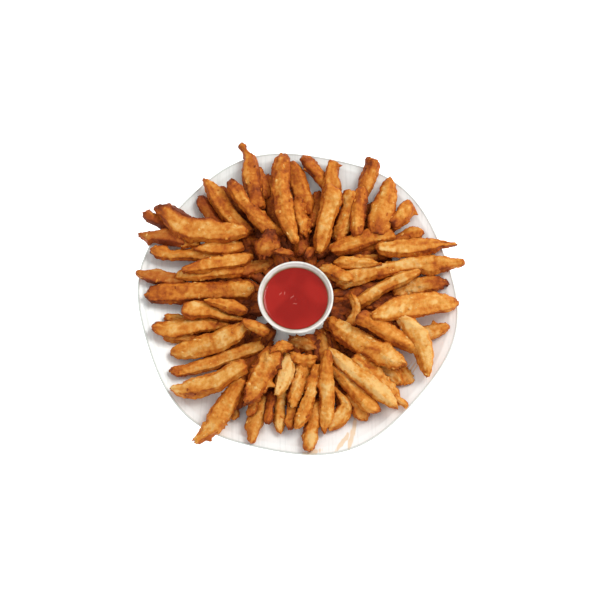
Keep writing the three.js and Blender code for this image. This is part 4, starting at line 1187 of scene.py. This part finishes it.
def makeCrumbs(spots, material):
    dice = random.Random('crumbs')
    whole = bmesh.new()
    whole.verts.layers.float.new('brown')
    for place, turn, size, brown in spots:
        crumb = bmesh.new()
        bmesh.ops.create_icosphere(crumb, subdivisions=2, radius=size)
        brownLayer = crumb.verts.layers.float.new('brown')
        stretch = Vector((dice.uniform(*crumbs['long']), dice.uniform(*crumbs['wide']), crumbs['flat']))
        seed = Vector((dice.uniform(0, 99), 0, 0))
        for vert in crumb.verts:
            lumpy = 1 + crumbs['lumpy'] * noise.noise(vert.co / size + seed)
            vert.co = turn @ Vector(a * b * lumpy for a, b in zip(vert.co, stretch)) + place
            vert[brownLayer] = clamp(brown)
        addShape(whole, crumb)
    finishPiece(whole, 'batterCrumbs', material, 'fried_potato', 'fries')


def makeFries(name, fries, material, stepAlong=batter['stepAlong'], cutsAcross=batter['cutsAcross']):
    dice = random.Random(name)
    crumbDice = random.Random(name + 'crumbs')
    whole = bmesh.new()
    whole.verts.layers.float.new('brown')
    whole.verts.layers.float.new('red')
    spots = []
    for one in fries:
        shape = fryShape(one, dice, stepAlong, cutsAcross)
        shape.normal_update()
        spots += scatterCrumbs(one, shape, crumbDice)
        addShape(whole, shape)
    finishPiece(whole, name, material, 'fried_potato', 'fries')
    return spots


# ---- Hidden fries at the bottom of the heap ----
# Most lie round the plate, the inner ones under the pot's flare, and a few places stay bare there.
# Their brown, darker than any lit fry, is painted shade deep in the heap over their own dark crust
hidden = dict(
    askew=14, spread=0.3, sink=3.5, uneven=1, brown=(1.2, 2.1), seed=11, firstNumber=200, stepAlong=2.2,
    cutsAcross=5, bareRadius=7, bare=[complex(-35, -21), complex(-15, -38)], rings=[
        dict(count=54, tipRadius=(85, 97), rootRadius=(56, 64), wide=(9, 12), x=0, y=0, height=0),
        dict(count=34, tipRadius=(60, 68), rootRadius=(40, 46), wide=(8, 12), x=0, y=0, height=0),
        dict(count=30, tipRadius=(46, 52), rootRadius=(28, 31), wide=(8, 10), x=pot['x'], y=pot['y'],
             height=11.5)])
coreForm = dict(top=(50, 92), under=(49, 93), rows=14, steps=180, lump=6, lumpHeight=1.2, brown=0.85)


def keepsBare(tip, root):
    for place in hidden['bare']:
        along = clamp(((place - tip) * (root - tip).conjugate()).real / abs(root - tip) ** 2)
        if abs(place - lerp(tip, root, along)) < hidden['bareRadius']:
            return False
    return True


def hiddenFries():
    dice = random.Random(hidden['seed'])
    fries = []
    for ring in hidden['rings']:
        for i in range(ring['count']):
            askance = dice.uniform(-hidden['spread'], hidden['spread'])
            turn = 2 * math.pi * (i + askance) / ring['count']
            lean = turn + math.radians(dice.uniform(-hidden['askew'], hidden['askew']))
            middle = complex(ring['x'], ring['y'])
            tip = middle + dice.uniform(*ring['tipRadius']) * complex(math.cos(turn), math.sin(turn))
            root = middle + dice.uniform(*ring['rootRadius']) * complex(math.cos(lean), math.sin(lean))
            one = fry((tip.real, tip.imag), (root.real, root.imag), dice.uniform(*ring['wide']),
                      brown=dice.uniform(*hidden['brown']))
            one.number = len(fries) + hidden['firstNumber']
            one.tipHeight = one.rootHeight = ring['height']
            if not ring['height']:
                unevenly = dice.uniform(-hidden['uneven'], hidden['uneven'])
                one.tipHeight = crownHeight(tip) - hidden['sink'] + unevenly
                one.rootHeight = max(crownHeight(root), plate['floorHeight'] + one.thick) - hidden['sink']
            if keepsBare(tip, root):
                fries.append(one)
    return fries


def makeCore(material):
    # The middle of the heap, out of sight: a lumpy ring just under the crown that the fries lie on
    top = [(radius, crownHeight(radius) - hidden['sink'])
           for radius in spaced(*coreForm['top'], coreForm['rows'])]
    under = [(radius, plateTop(radius) + rest['gap'])
             for radius in reversed(spaced(*coreForm['under'], coreForm['rows']))]
    bm = spunShape([*top, *under, top[0]], coreForm['steps'])
    brownLayer = bm.verts.layers.float.new('brown')
    for vert in bm.verts:
        if vert.co.z > plateTop(math.hypot(vert.co.x, vert.co.y)) + rest['gap'] + 0.5:
            vert.co.z += coreForm['lumpHeight'] * noise.noise(vert.co / coreForm['lump'])
        vert[brownLayer] = coreForm['brown']
    finishPiece(bm, 'heapCore', material, 'fried_potato', 'fries')


crust = friedCrust()
makeCore(crust)
makeFries('hiddenFries', hiddenFries(), crust, hidden['stepAlong'], hidden['cutsAcross'])
spots = makeFries('bottomFries', bottomFries + scraps, crust)
spots += makeFries('middleFries', middleFries, crust)
spots += makeFries('topFries', topFries, crust)
makeCrumbs(spots, crust)


# ---- Table and light ----
studio = dict(floorRadius=6, floorSides=96, world='#ffffff', worldStrength=0.68)
lamps = dict(
    window=dict(x=0.85, y=0.5, z=1.15, size=0.8, power=12.5, colour='#fffdfa'),
    fill=dict(x=-0.8, y=-0.5, z=1.3, size=1.2, power=2, colour='#f4f7ff'))


def makeFloor():
    bm = bmesh.new()
    bmesh.ops.create_circle(bm, cap_ends=True, radius=studio['floorRadius'],
                            segments=studio['floorSides'])
    mesh = bpy.data.meshes.new('table')
    bm.to_mesh(mesh)
    bm.free()
    mesh.materials.append(backlitAcrylic())
    floor = bpy.data.objects.new('table', mesh)
    bpy.context.scene.collection.objects.link(floor)


def makeLight(name, lamp):
    data = bpy.data.lights.new(name, 'AREA')
    data.shape = 'DISK'
    data.size = lamp['size']
    data.energy = lamp['power']
    data.color = linearColour(lamp['colour'])[:3]
    light = bpy.data.objects.new(name, data)
    light.location = (lamp['x'], lamp['y'], lamp['z'])
    light.rotation_euler = Vector((-lamp['x'], -lamp['y'], -lamp['z'])).to_track_quat('-Z', 'Y').to_euler()
    light.visible_camera = False
    bpy.context.scene.collection.objects.link(light)


def makeWorld():
    world = bpy.data.worlds.new('studio')
    world.use_nodes = True
    background = world.node_tree.nodes['Background']
    background.inputs['Color'].default_value = linearColour(studio['world'])
    background.inputs['Strength'].default_value = studio['worldStrength']
    bpy.context.scene.world = world


makeFloor()
for lampName, lamp in lamps.items():
    makeLight(lampName, lamp)
makeWorld()
bpy.context.scene.view_settings.view_transform = 'Standard'
print('table and light ready')
